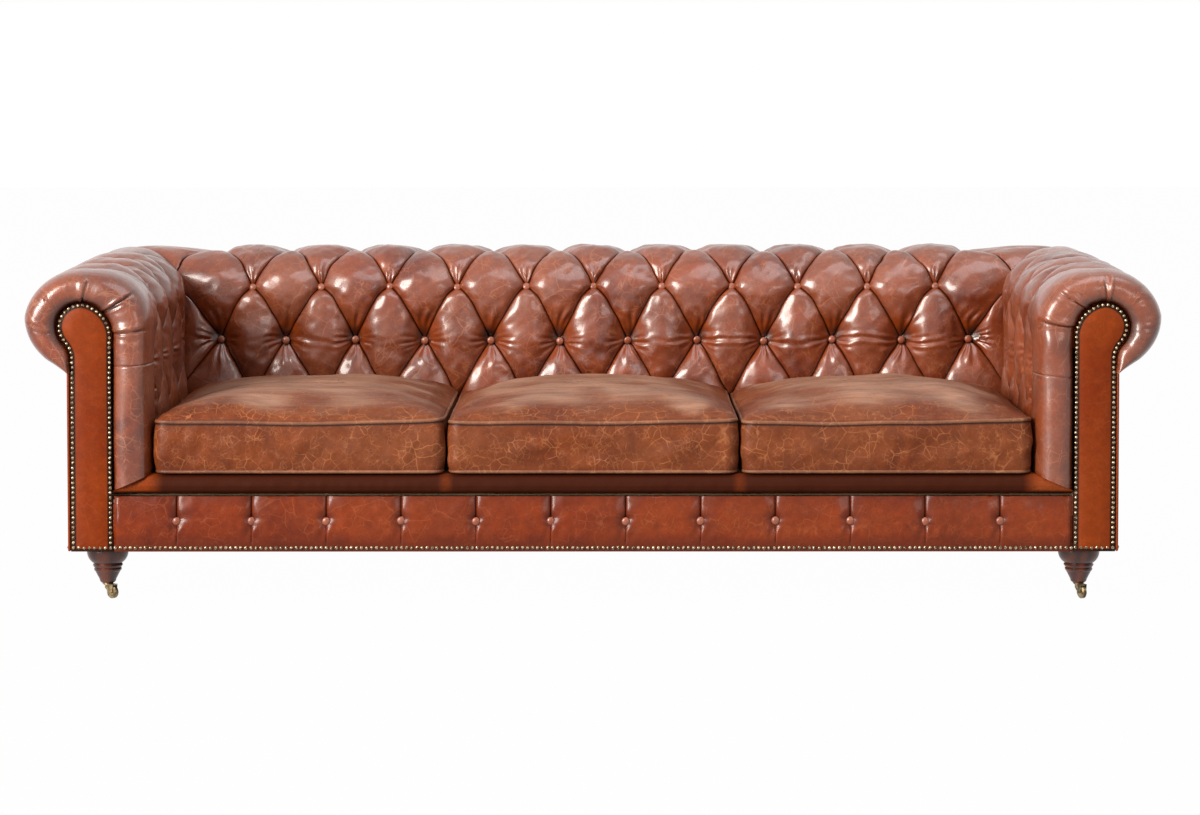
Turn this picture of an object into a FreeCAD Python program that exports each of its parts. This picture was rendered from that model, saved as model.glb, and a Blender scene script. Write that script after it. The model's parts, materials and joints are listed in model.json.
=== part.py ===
"""Three-seat chesterfield sofa: timber frame, deep-buttoned leather, loose cushions and brass casters.

The sofa stands on z = 0 with its front towards -Y and its middle on the Z axis. Lengths are millimetres.
Inside the arms and the back one profile is used. Its two axes are u, the distance outwards from
the face that the sitter touches, and z, the height. On an arm u runs along X, on the back along Y.
"""

import FreeCAD, Part
import math
import os

import Sketcher

V = FreeCAD.Vector
UP = V(0, 0, 1)

# Driving dimensions: name, value, meaning
DIMENSIONS = [
    ("inner_half", 950, "middle to the face of an arm"),
    ("facing_plane", 470, "middle to the front of the arm facings"),
    ("back_face", 203, "middle to the face of the back"),
    ("roll_reach", 277, "face to the outermost line of the roll"),
    ("panel_reach", 180, "face to the outside of arm and back"),
    ("frame_near", 84, "face to the near side of the timber"),
    ("frame_far", 174, "face to the far side of the timber"),
    ("foam_near", 44, "face to the near side of the firm foam"),
    ("crest", 734, "top of the back's roll"),
    ("arm_crest", 716, "top of an arm's roll at its front"),
    ("deck", 279, "top of the seat deck"),
    ("body_bottom", 112, "underside of the body"),
    ("rail_bottom", 115, "underside of the seat rails"),
    ("rail_top", 232, "top of the seat rails"),
    ("board", 32, "thickness of the frame timber"),
    ("mid_post_y", -150, "middle to the front of the arm's middle post"),
    ("post", 50, "width of a post"),
    ("head_rail_in", 114, "face to the rail inside a roll"),
    ("head_rail_low", 568, "underside of the rail inside a roll"),
    ("head_rail_wide", 50, "width of the rail inside a roll"),
    ("head_rail_high", 46, "height of the rail inside a roll"),
    ("tack_low", 300, "underside of the rail that the covers are tacked to"),
    ("tack_high", 50, "height of the rail that the covers are tacked to"),
    ("tack_in", 4, "liner to the rail that the covers are tacked to"),
    ("corner_post_top", 563, "top of a corner post"),
    ("cross_rail", 72, "height of a cross rail"),
    ("block", 86, "width of a corner block"),
    ("block_high", 60, "height of a corner block"),
    ("pitch", 161, "button to button along a row"),
    ("row_step", 135, "row to row over the surface"),
    ("first_row", 100, "deck to the hidden lowest row"),
    ("top_row", 550, "deck to the row behind the crest, over the surface"),
    ("crease_depth", 20, "depth of a slanting pleat"),
    ("pleat_depth", 11, "depth of a straight pleat over a roll"),
    ("button_depth", 34, "depth of a button seat"),
    ("button_radius", 11, "radius of a covered button"),
    ("button_rise", 6, "height of a button's dome"),
    ("button_lift", 10, "seat of a button to its base"),
    ("cushion_gap", 3, "gap between two cushions"),
    ("cushion_front", 472, "middle to the front of the cushions"),
    ("cushion_back", 198, "middle to the back of the cushions"),
    ("boxing", 110, "height of the cushion's sides"),
    ("crown", 63, "rise of the cushion above its upper seam"),
    ("cover_thick", 5, "leather and lining of a cushion"),
    ("facing_thick", 8, "padded facing board"),
    ("border_thick", 40, "padded front border"),
    ("border_top", 230, "top of the front border"),
    ("border_middle", 178, "height of the border's buttons"),
    ("border_shift", -10, "middle of the sofa to the middle of the border's buttons"),
    ("lip_corner", 243, "lower end of the slope beside the seat lip"),
    ("foot_x", 1056, "middle to a foot"),
    ("foot_front", 392, "middle to a front foot"),
    ("foot_back", 322, "middle to a rear foot"),
    ("foot_bottom", 33, "floor to the wood of a foot"),
    ("foot_radius", 44.5, "widest radius of a foot"),
    ("stud_radius", 5, "radius of the bolt that holds a foot"),
    ("stud_clear", 0.3, "clearance of that bolt"),
    ("wheel_radius", 14, "radius of a caster wheel"),
    ("wheel_width", 11, "width of a caster wheel"),
    ("trail", 13, "swivel axis to wheel axle"),
    ("stem_radius", 4, "radius of the caster's stem"),
    ("axle_radius", 2, "radius of the wheel's axle"),
    ("running", 0.05, "radial clearance of a turning fit"),
]

# Buttons in each row of the back, and the front border's row
BACK_ROW = 12
BORDER_ROW = 12
ARM_ROW = 4

# Which way each caster trails, in degrees from +X
CASTER_TURNS = {
    "front_left": -32,
    "front_right": -64,
    "rear_left": 35,
    "rear_right": 148,
}

doc = FreeCAD.newDocument("chesterfield_sofa")
sheet = doc.addObject("Spreadsheet::Sheet", "dims")
for row, (alias, number, meaning) in enumerate(DIMENSIONS, start=1):
    sheet.set(f"A{row}", meaning)
    sheet.set(f"B{row}", str(number))
    sheet.setAlias(f"B{row}", alias)
doc.recompute()

pieces = {}


def size(alias):
    return float(getattr(sheet, alias))


def value(expression):
    return float(sheet.evalExpression(expression))


def named(thing, label):
    """Makes thing the sub-part that is called label."""
    thing.Label = label
    pieces[label] = thing
    return thing


def place(thing, x="0", y="0", z="0", turn=0):
    """Binds a thing's place to the sheet."""
    thing.Placement = FreeCAD.Placement(V(), FreeCAD.Rotation(UP, turn))
    for axis, expression in zip("xyz", (x, y, z)):
        thing.setExpression(f"Placement.Base.{axis}", expression)


def box(name, x, y, z, along_x, along_y, along_z):
    made = doc.addObject("Part::Box", name)
    made.setExpression("Length", along_x)
    made.setExpression("Width", along_y)
    made.setExpression("Height", along_z)
    place(made, x, y, z)
    return made


def cylinder(name, x, y, z, radius, height):
    made = doc.addObject("Part::Cylinder", name)
    made.setExpression("Radius", radius)
    made.setExpression("Height", height)
    place(made, x, y, z)
    return made


def cut(name, base, tool):
    made = doc.addObject("Part::Cut", name)
    made.Base = base
    made.Tool = tool
    return made


def together(label, members):
    """One sub-part of several separate solids."""
    made = doc.addObject("Part::Compound", label)
    made.Links = members
    return named(made, label)


def mirrored(label, source):
    """The left-hand piece that matches a right-hand one."""
    made = doc.addObject("Part::Mirroring", label)
    made.Source = source
    made.Normal = V(1, 0, 0)
    return named(made, label)


def new_body(name):
    return doc.addObject("PartDesign::Body", name)


def plane_of(body, role):
    return next(f for f in body.Origin.OriginFeatures if f.Role == role)


def sketch_on(body, name, role, offset=None):
    sketch = body.newObject("Sketcher::SketchObject", name)
    sketch.AttachmentSupport = [(plane_of(body, role), "")]
    sketch.MapMode = "FlatFace"
    if offset:
        sketch.setExpression("AttachmentOffset.Base.z", offset)
    return sketch


def pin(sketch, geometry, vertex, across, up):
    """Ties one point of a sketch to a pair of sheet expressions."""
    for kind, expression in (("DistanceX", across), ("DistanceY", up)):
        tie = Sketcher.Constraint(kind, -1, 1, geometry, vertex, value(expression))
        number = sketch.addConstraint(tie)
        sketch.setExpression(f"Constraints[{number}]", expression)


def outline(body, name, role, corners, offset=None):
    """A closed sketch. A corner is (across, up), or (across, up, via) where an arc through the
    point via leads to the next corner. Every corner and via is bound to the sheet."""
    sketch = sketch_on(body, name, role, offset)
    spots = [V(value(c[0]), value(c[1]), 0) for c in corners]
    ends = []
    for i, corner in enumerate(corners):
        start, end = spots[i], spots[(i + 1) % len(corners)]
        if len(corner) < 3:
            sketch.addGeometry(Part.LineSegment(start, end), False)
            ends.append((1, 2))
            continue
        via = V(value(corner[2][0]), value(corner[2][1]), 0)
        clockwise = (via - start).cross(end - via).z < 0
        curve = Part.Arc(end, via, start) if clockwise else Part.Arc(start, via, end)
        sketch.addGeometry(curve, False)
        ends.append((2, 1) if clockwise else (1, 2))
    for i, corner in enumerate(corners):
        following = (i + 1) % len(corners)
        tie = Sketcher.Constraint("Coincident", i, ends[i][1], following, ends[following][0])
        sketch.addConstraint(tie)
        pin(sketch, i, ends[i][0], corner[0], corner[1])
    for i, corner in enumerate(corners):
        if len(corner) == 3:
            via = V(value(corner[2][0]), value(corner[2][1]), 0)
            mark = sketch.addGeometry(Part.Point(via), True)
            pin(sketch, mark, 1, *corner[2])
            sketch.addConstraint(Sketcher.Constraint("PointOnObject", mark, 1, i))
    return sketch


def circle_sketch(body, name, role, across, up, radius, offset=None):
    sketch = sketch_on(body, name, role, offset)
    middle = V(value(across), value(up), 0)
    sketch.addGeometry(Part.Circle(middle, UP, value(radius)), False)
    pin(sketch, 0, 3, across, up)
    number = sketch.addConstraint(Sketcher.Constraint("Radius", 0, value(radius)))
    sketch.setExpression(f"Constraints[{number}]", radius)
    return sketch


def feature(body, kind, name, sketch, length=None, midplane=False, reverse=False):
    made = body.newObject(f"PartDesign::{kind}", name)
    made.Profile = sketch
    if length:
        made.setExpression("Length", length)
    if midplane:
        made.SideType = "Symmetric"
    made.Reversed = reverse
    return made


def turned(name, corners, x="0", y="0", z="0", turn=0):
    """A body turned round its own Z axis from a half outline of (radius, height) corners."""
    body = new_body(name)
    sketch = outline(body, f"{name}_half", "XZ_Plane", corners)
    revolution = body.newObject("PartDesign::Revolution", f"{name}_turned")
    revolution.Profile = sketch
    revolution.ReferenceAxis = (sketch, ["V_Axis"])
    revolution.Angle = 360
    place(body, x, y, z, turn)
    return body


def board_across(name, corners, thickness, back):
    """A board cut to an outline in X and Z. Its rear face stands at y = back."""
    body = new_body(name)
    feature(body, "Pad", f"{name}_pad", outline(body, f"{name}_cut", "XZ_Plane", corners), thickness)
    place(body, y=back)
    return body


# Seat frame


def seat_frame():
    rail_height = "dims.rail_top - dims.rail_bottom"
    side = "dims.inner_half + dims.frame_far"
    inside = f"({side} - dims.board)"
    front = "(-dims.facing_plane + dims.border_thick)"
    rear = "(dims.back_face + dims.frame_far)"
    rails = {
        "seat_front_rail": front,
        "seat_back_rail": f"{rear} - dims.board",
    }
    for label, y in rails.items():
        rail = box(label, f"-{inside}", y, "dims.rail_bottom", f"2 * {inside}", "dims.board", rail_height)
        named(rail, label)
    ends = []
    for name, x in (("left", f"-({side})"), ("right", inside)):
        length = f"{rear} - {front}"
        ends.append(
            box(f"side_rail_{name}", x, front, "dims.rail_bottom", "dims.board", length, rail_height)
        )
    together("seat_side_rails", ends)
    span = f"{rear} - {front} - 2 * dims.board"
    crossers = []
    for name, x in (("left", "-dims.inner_half / 3"), ("right", "dims.inner_half / 3")):
        crossers.append(
            box(
                f"cross_rail_{name}",
                f"{x} - dims.board / 2",
                f"{front} + dims.board",
                "dims.rail_top - dims.cross_rail",
                "dims.board",
                span,
                "dims.cross_rail",
            )
        )
    together("seat_cross_rails", crossers)
    corner_blocks(inside, front, rear)


def corner_blocks(inside, front, rear):
    """The glued blocks that the feet are bolted to, each drilled for its bolt."""
    block = "dims.block"
    blocks = []
    for corner, (x, y) in FEET.items():
        low_x = f"{inside} - {block}" if "right" in corner else f"-{inside}"
        low_y = f"{front} + dims.board" if "front" in corner else f"{rear} - dims.board - {block}"
        solid = box(f"block_{corner}", low_x, low_y, "dims.rail_bottom", block, block, "dims.block_high")
        drill = cylinder(
            f"drill_{corner}", x, y, "dims.rail_bottom - 5", "dims.stud_radius + dims.stud_clear", "80"
        )
        blocks.append(cut(f"drilled_{corner}", solid, drill))
    together("corner_blocks", blocks)


FEET = {
    "front_left": ("-dims.foot_x", "-dims.foot_front"),
    "front_right": ("dims.foot_x", "-dims.foot_front"),
    "rear_left": ("-dims.foot_x", "dims.foot_back"),
    "rear_right": ("dims.foot_x", "dims.foot_back"),
}


# Arm and back frame


def keyhole(grow=0):
    """The scroll outline of an arm front, in X and Z. grow widens it all round."""
    g = f"{grow}"
    near = f"(dims.inner_half + dims.frame_near - {g})"
    far = f"(dims.inner_half + dims.frame_far - 3 + {g})"
    neck = "dims.inner_half"
    low = "dims.body_bottom"
    return [
        (near, low),
        (far, low),
        (far, "528", (f"{neck} + 174 + {g}", "545")),
        (f"{neck} + 189 + {g}", "560", (f"{neck} + 204 + {g}", "577")),
        (f"{neck} + 209 + {g}", "602", (f"{neck} + 192 + {g}", f"634 + {g}")),
        (f"{neck} + 150", f"647 + {g}", (f"{neck} + 102 - {g}", f"623 + {g}")),
        (near, "565"),
    ]


def arm_frame():
    board = board_across("scroll_board_right", keyhole(), "dims.board", SCROLL_BACK)
    named(board, "scroll_board_right")
    mirrored("scroll_board_left", board)
    rear = "dims.back_face + dims.frame_near - 0.5"
    length = f"{rear} - ({SCROLL_BACK})"
    near = "dims.inner_half"
    top = box(
        "arm_top_rail", f"{near} + dims.head_rail_in", SCROLL_BACK, "dims.head_rail_low", "dims.head_rail_wide",
        length, "dims.head_rail_high",
    )
    tack_x = f"{near} + dims.frame_near + dims.tack_in"
    tack = box("arm_tack_rail", tack_x, SCROLL_BACK, "dims.tack_low", "dims.board", length, "dims.tack_high")
    middle = box(
        "arm_mid_post",
        f"{tack_x} + dims.board",
        "dims.mid_post_y",
        "dims.rail_top",
        "dims.frame_far - dims.frame_near - dims.tack_in - dims.board",
        "dims.post",
        "dims.head_rail_low - dims.rail_top",
    )
    corner = box(
        "corner_post",
        f"{near} + dims.frame_near",
        "dims.back_face + dims.frame_near",
        "dims.rail_top",
        "dims.frame_far - dims.frame_near",
        "dims.frame_far - dims.frame_near",
        "dims.corner_post_top - dims.rail_top",
    )
    both_sides("arm_rails", [top, tack])
    both_sides("arm_posts", [middle, corner])


def both_sides(label, right):
    """A sub-part that holds right-hand solids and their mirror images."""
    left = []
    for piece in right:
        image = doc.addObject("Part::Mirroring", f"{piece.Name}_left")
        image.Source = piece
        image.Normal = V(1, 0, 0)
        left.append(image)
    return together(label, right + left)


def back_frame():
    half = "(dims.inner_half + dims.frame_near - 0.5)"
    face = "dims.back_face"
    top = box(
        "back_top_rail", f"-{half}", f"{face} + dims.head_rail_in", "dims.head_rail_low", f"2 * {half}",
        "dims.head_rail_wide", "dims.head_rail_high",
    )
    named(top, "back_top_rail")
    tack_y = f"{face} + dims.frame_near + dims.tack_in"
    tack = box("back_tack_rail", f"-{half}", tack_y, "dims.tack_low", f"2 * {half}", "dims.board", "dims.tack_high")
    named(tack, "back_tack_rail")
    posts = []
    for number, x in enumerate(("-dims.inner_half / 2", "0", "dims.inner_half / 2")):
        posts.append(
            box(
                f"back_post_{number}",
                f"{x} - dims.post / 2",
                f"{tack_y} + dims.board",
                "dims.rail_top",
                "dims.post",
                "dims.frame_far - dims.frame_near - dims.tack_in - dims.board",
                "dims.head_rail_low - dims.rail_top",
            )
        )
    together("back_posts", posts)


def former_outline(reach):
    """The bent hardboard that shapes a roll: a strip 4 mm thick up the face and round the head."""
    thick = 4
    return [
        (f"{reach} + dims.frame_near", "dims.tack_low"),
        (f"{reach} + dims.frame_near", "565", (f"{reach} + 102", "623")),
        (f"{reach} + 150", "647", (f"{reach} + 192", "634")),
        (f"{reach} + 209", "602"),
        (f"{reach} + 209 - {thick}", "602", (f"{reach} + 192 - 3", "634 - 3")),
        (f"{reach} + 150", f"647 - {thick}", (f"{reach} + 102 + 3", "623 - 3")),
        (f"{reach} + dims.frame_near + {thick}", "565"),
        (f"{reach} + dims.frame_near + {thick}", "dims.tack_low"),
    ]


def roll_formers():
    """The liners of both arms and of the back, which stop short of the corner posts."""
    rear, half = "dims.back_face", "dims.inner_half"
    length = f"{rear} - ({SCROLL_BACK})"
    arm = board_across("former_arm", former_outline("dims.inner_half"), length, rear)
    back = new_body("former_back")
    sketch = outline(back, "former_back_cut", "YZ_Plane", former_outline("dims.back_face"))
    feature(back, "Pad", "former_back_pad", sketch, f"2 * {half}")
    place(back, x=f"-{half}")
    image = doc.addObject("Part::Mirroring", "former_arm_left")
    image.Source = arm
    image.Normal = V(1, 0, 0)
    together("roll_formers", [arm, image, back])


SCROLL_BACK = "(-dims.facing_plane + dims.facing_thick + dims.board)"


def seat_webbing():
    """Woven straps over the seat rails: front to back below, side to side above."""
    wide, thick, straps, crossings = 50, 2, 12, 5
    reach = "(dims.inner_half + dims.frame_far - 6)"
    front = "(-dims.facing_plane + dims.border_thick + 4)"
    rear = "(dims.back_face + dims.frame_far - 4)"
    last = "(dims.back_face + dims.frame_near - 5)"
    members = []
    for i in range(straps):
        x = f"dims.inner_half * {2 * (i + 0.5) / straps - 1:.4f} - {wide / 2}"
        members.append(box(f"strap_{i}", x, front, "dims.rail_top", f"{wide}", f"{rear} - {front}", f"{thick}"))
    for i in range(crossings):
        y = f"{front} + ({last} - {front}) * {(i + 0.5) / crossings:.4f} - {wide / 2}"
        level = f"dims.rail_top + {thick}"
        members.append(box(f"cross_strap_{i}", f"-{reach}", y, level, f"2 * {reach}", f"{wide}", f"{thick}"))
    together("seat_webbing", members)


# Deep-buttoned covers


# From the seam under a roll up to its crest
ROLL_HEIGHT = 237


def face_profile():
    """The outer line of a roll, from the deck up, over and under to the outside panel, in (u, z)."""
    low, top = size("deck"), size("crest")
    reach, panel = size("roll_reach") - 1, size("panel_reach")
    under = V(reach - 50, top - 210, 0)
    corners = [
        (V(0, low, 0), None, V(0, top - 112, 0)),
        (V(0, top - 112, 0), V(36, top - 36, 0), V(130, top, 0)),
        (V(130, top, 0), V(228, top - 26, 0), V(reach, top - 106, 0)),
        (V(reach, top - 106, 0), V(reach - 13, top - 164, 0), under),
        (under, None, V(panel, top - ROLL_HEIGHT, 0)),
    ]
    edges = []
    for start, via, end in corners:
        curve = Part.Arc(start, via, end) if via else Part.LineSegment(start, end)
        edges.append(curve.toShape())
    return edges


PROFILE = face_profile()
PROFILE_LENGTH = sum(edge.Length for edge in PROFILE)


def on_profile(run, depth=0):
    """The point depth below the profile, run along it from the deck, and the outward direction."""
    for edge in PROFILE:
        if run <= edge.Length:
            break
        run -= edge.Length
    along = min(run, edge.Length) / edge.Length
    if edge.valueAt(edge.FirstParameter).distanceToPoint(edge.Vertexes[0].Point) > 1e-6:
        along = 1 - along
    step = edge.FirstParameter + along * (edge.LastParameter - edge.FirstParameter)
    tangent = edge.tangentAt(step)
    out = V(-tangent.y, tangent.x, 0).normalize()
    return edge.valueAt(step) - out * depth, out


def button_runs():
    """Distances of the button rows along the profile, lowest first."""
    return [size("first_row") + size("row_step") * i for i in range(3)] + [size("top_row")]


def tuft_line(kind):
    """Corners and middles of a section's six pads, as (run, depth) pairs that start at a corner.

    A gate section runs through the buttons of the rows at the second and fourth distance.
    A stem section runs through those of the first and third. A slope section lies between
    them, and the fold is the mitre of arm and back."""
    hidden, low, mid, high = button_runs()
    end = PROFILE_LENGTH
    over, tail = (high + end) / 2 - 60, (high + end) / 2 + 60
    seat, snug = 9, 6
    slant, straight, button = size("crease_depth"), size("pleat_depth"), size("button_depth")
    last = [((tail + end) / 2, 1), (end, 0)]
    if kind == "gate":
        return [
            (0, snug), (low / 2, snug),
            (low - seat, button), (low, button),
            (low + seat, button), (mid, 3),
            (high - seat, button), (high, button),
            (high + seat, button), (over, straight),
            (tail, straight), *last,
        ]
    if kind == "stem":
        return [
            (0, snug), (hidden / 2, slant),
            (hidden, button), (low, snug),
            (mid - seat, button), (mid, button),
            (mid + seat, button), (high, 0),
            (over, 0), ((over + tail) / 2, 0),
            (tail, 0), *last,
        ]
    plump = 5 if kind == "slope" else slant
    corners = [(hidden + low) / 2, (low + mid) / 2, (mid + high) / 2]
    pairs = [(0, snug), (hidden / 2, plump + snug)]
    for here, following in zip(corners, corners[1:] + [high + 90]):
        pairs += [(here, slant), ((here + following) / 2, plump)]
    pairs += [(high + 90, plump), ((high + 90 + tail) / 2, plump), (tail, plump), *last]
    return pairs


def mitre_height(reach):
    """Height of the slope on which the end of an arm meets the seat lip, reach from its face."""
    return size("deck") - reach * (size("deck") - size("lip_corner")) / size("frame_near")


def foam_line(inward=0):
    """The straight facets of the firm foam under a buttoned cover, from the outside panel round."""
    far, near = size("frame_far"), size("foam_near") + inward
    return [
        V(far, 500, 0),
        V(229 - inward, 552, 0),
        V(243 - inward, 600, 0),
        V(206 - inward, 668 - inward, 0),
        V(146, 690 - inward, 0),
        V(near, 598, 0),
        V(near, mitre_height(near), 0),
    ]


def polygon(points, put):
    edges = []
    for here, following in zip(points, points[1:]):
        edges.append(Part.LineSegment(put(here.x, here.y), put(following.x, following.y)).toShape())
    return edges


def curve_through(start, via, end):
    """An arc, or a line where the three points lie in a row."""
    chord = end - start
    if chord.cross(via - start).Length < 1e-2 * chord.Length:
        return Part.LineSegment(start, end).toShape()
    return Part.Arc(start, via, end).toShape()


def arcs_through(points, put):
    """Arcs over each three points; the last point of one is the first of the next."""
    edges = []
    for i in range(0, len(points) - 1, 2):
        edges.append(curve_through(*(put(p.x, p.y) for p in points[i : i + 3])))
    return edges


def above_profile(spot):
    """How far a point stands out over the profile; inside it the number is negative."""
    gap, pairs, _ = Part.Wire(PROFILE).distToShape(Part.Vertex(spot))
    foot = pairs[0][0]
    middle = V(150, size("crest") - 130, 0)
    if foot.y < middle.y and foot.x < middle.x:
        middle = V(middle.x, foot.y, 0)
    outside = (spot - middle).Length > (foot - middle).Length
    return gap if outside else -gap


def pad_points(kind):
    """The corners and middles of a section's pads. A middle is moved in until no part of the
    arc through it stands out over the highest of its three points."""
    pairs = tuft_line(kind)
    points = [on_profile(*pair)[0] for pair in pairs]
    for i in range(1, len(points), 2):
        run, depth = pairs[i]
        least = min(pairs[i - 1][1], depth, pairs[i + 1][1])
        for _ in range(10):
            points[i] = on_profile(run, depth)[0]
            arc = curve_through(*points[i - 1 : i + 2])
            highest = max(above_profile(spot) for spot in arc.discretize(15)[1:-1])
            depth += 1.5 * max(highest + least, 0)
    return points


SECTIONS = {}


def section(kind, put):
    """One closed section of a buttoned cover. put maps (u, z) to a point in space."""
    if kind not in SECTIONS:
        SECTIONS[kind] = pad_points(kind)
    points = SECTIONS[kind]
    return arcs_through(points, put) + polygon([points[-1], *foam_line(), points[0]], put)


def skin(sections):
    """A closed solid with a ruled strip between each pair of matching edges."""
    faces = []
    for here, following in zip(sections, sections[1:]):
        faces += [Part.makeRuledSurface(a, b, 1) for a, b in zip(here, following)]
    faces += [Part.Face(Part.Wire(sections[0])), Part.Face(Part.Wire(sections[-1]))]
    shell = Part.makeShell(faces)
    shell.sewShape()
    solid = Part.makeSolid(shell)
    if solid.Volume < 0:
        solid.reverse()
    return solid


def formed(label, shape):
    made = doc.addObject("Part::Feature", label)
    made.Shape = shape
    return named(made, label)


def back_stations():
    """Where the back's sections stand: (kind, x at u = 0, how far x grows with u)."""
    half, pitch = size("inner_half"), size("pitch")
    last = pitch * (BACK_ROW - 1) / 2
    stations = []
    for i in range(4 * (BACK_ROW - 1) + 1):
        kind = ("gate", "slope", "stem", "slope")[i % 4]
        stations.append((kind, -last + pitch * i / 4, 0))
    corner = [("slope", (last + half) / 2, 0.5), ("fold", half, 1)]
    left = [(kind, -x, -grow) for kind, x, grow in reversed(corner)]
    return left + stations + corner


def across_back(x, grow):
    """Maps (u, z) to a section of the back."""
    face = size("back_face")
    return lambda u, z: V(x + grow * u, face + u, z)


def along_arm(y, grow):
    """Maps (u, z) to a section of the right arm, whose roll falls gently towards its front."""
    rear, front = size("back_face"), -size("facing_plane")
    fall = (size("crest") - size("arm_crest")) / ROLL_HEIGHT

    def put(u, z):
        run = (rear - y) / (rear - front)
        above = max(z - size("crest") + ROLL_HEIGHT, 0)
        return V(size("inner_half") + u, y + grow * u, z - above * fall * run)

    return put


def arm_columns():
    """Y of the arm's columns of buttons in the lower row, rear first."""
    gap = size("inner_half") - size("pitch") * (BACK_ROW - 1) / 2
    return [size("back_face") - gap - size("pitch") * i for i in range(ARM_ROW)]


def arm_stations():
    """Where the arm's buttoned sections stand, rear first: (kind, y at u = 0, growth with u)."""
    face, pitch = size("back_face"), size("pitch")
    columns = arm_columns()
    stations = [("fold", face, 1), ("slope", (columns[0] + face) / 2, 0.5)]
    for i in range(4 * (ARM_ROW - 1) + 1):
        kind = ("gate", "slope", "stem", "slope")[i % 4]
        stations.append((kind, columns[0] - pitch * i / 4, 0))
    return stations


def front_section(y, draw, round_facing):
    """A section of the plump end of an arm, drawn in by draw. It lies round the facing board
    or, further back, round the firm foam."""
    put = along_arm(y, 0)
    points = []
    for run, _ in tuft_line("slope"):
        spot, out = on_profile(run)
        points.append(spot - out * draw)
    points[0] = V(draw, mitre_height(draw), 0)
    points[-1] = V(size("panel_reach"), size("crest") - ROLL_HEIGHT + draw / 4, 0)
    outer = arcs_through(points, put)
    if round_facing:
        return outer + round_the_facing(put(points[0].x, points[0].y), put(points[-1].x, points[-1].y))
    return outer + polygon([points[-1], *foam_line(), points[0]], put)


def round_the_facing(last, first):
    """The edges of an arm's front section that follow the outline of its facing, from first
    under the roll to last beside the seat."""
    y = first.y
    corners = keyhole(GROW_FACING + 0.5)
    spots = [V(value(c[0]), y, value(c[1])) for c in corners]
    bottom = V(spots[1].x, y, first.z + 2)
    near = V(spots[0].x, y, mitre_height(spots[0].x - size("inner_half")))
    edges = [Part.LineSegment(first, bottom).toShape(), Part.LineSegment(bottom, spots[2]).toShape()]
    for here, corner, following in zip(spots[2:], corners[2:], spots[3:]):
        via = V(value(corner[2][0]), y, value(corner[2][1]))
        edges.append(Part.Arc(here, via, following).toShape())
    edges.append(Part.LineSegment(spots[-1], near).toShape())
    edges.append(Part.LineSegment(near, last).toShape())
    return edges


def covers():
    sections = [section(kind, across_back(x, grow)) for kind, x, grow in back_stations()]
    formed("back_cover", skin(sections))
    sections = [section(kind, along_arm(y, grow)) for kind, y, grow in arm_stations()]
    front = -size("facing_plane")
    for ahead, draw in ((90, 0), (50, 0)):
        sections.append(front_section(front + ahead, draw, False))
    for ahead, draw in ((22, 7), (4, 20), (-8, 38)):
        sections.append(front_section(front + ahead, draw, True))
    right = formed("arm_cover_right", skin(sections))
    mirrored("arm_cover_left", right)


def foam_section(put, plain):
    """A section of the firm foam between the cover and the liner."""
    near, head = size("frame_near") - 1.2, 1
    under = [
        V(near, mitre_height(near), 0),
        V(near, 565, 0),
        V(102 - head, 623 + head, 0),
        V(150, 647 + head, 0),
        V(192 + head, 634 + head, 0),
        V(209 + head, 602, 0),
        V(189 + head, 560, 0),
        V(size("frame_far") + head, 528, 0),
    ]
    line = foam_line(1.5)
    line[0] = V(line[0].x + 1, line[0].y + 3, 0)
    edges = polygon(line, put)
    edges.append(Part.LineSegment(put(line[-1].x, line[-1].y), plain(near, under[0].y)).toShape())
    bends = arcs_through(under[1:6], plain)
    edges += polygon(under[:2], plain) + bends + polygon(under[5:], plain)
    edges.append(Part.LineSegment(plain(under[-1].x, under[-1].y), put(line[0].x, line[0].y)).toShape())
    return edges


def foams():
    half, face = size("inner_half"), size("back_face")
    ends = [(-half, -1), (-half, 0), (half, 0), (half, 1)]
    formed("back_foam", skin([foam_section(across_back(*end), across_back(*end)) for end in ends]))

    def level(y, grow):
        return lambda u, z: V(half + u, y + grow * u, z)

    ends = [(face, 1), (face, 0), (-size("facing_plane") + 51, 0)]
    right = skin([foam_section(along_arm(*end), level(*end)) for end in ends])
    left = right.mirror(V(), V(1, 0, 0))
    formed("arm_foams", Part.makeCompound([left, right]))


def button_at(spot, out):
    """A covered button as a faceted dome whose base is centred on spot, facing out."""
    sides = 8
    wires = []
    for radius, height in ((size("button_radius"), 0), (size("button_radius") * 0.6, size("button_rise"))):
        ring = [V(radius, 0, height)]
        for i in range(1, sides + 1):
            angle = 2 * math.pi * i / sides
            ring.append(V(radius * math.cos(angle), radius * math.sin(angle), height))
        wires.append(Part.makePolygon(ring[:-1] + [ring[0]]))
    dome = Part.makeLoft(wires, True, True)
    dome.Placement = FreeCAD.Placement(spot, FreeCAD.Rotation(UP, out))
    return dome


def buttons_on(put, run):
    """A button in its seat on the surface that put maps."""
    spot, out = on_profile(run, size("button_depth") - size("button_lift"))
    tip = spot + out
    base = put(spot.x, spot.y)
    return button_at(base, put(tip.x, tip.y) - base)


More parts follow.
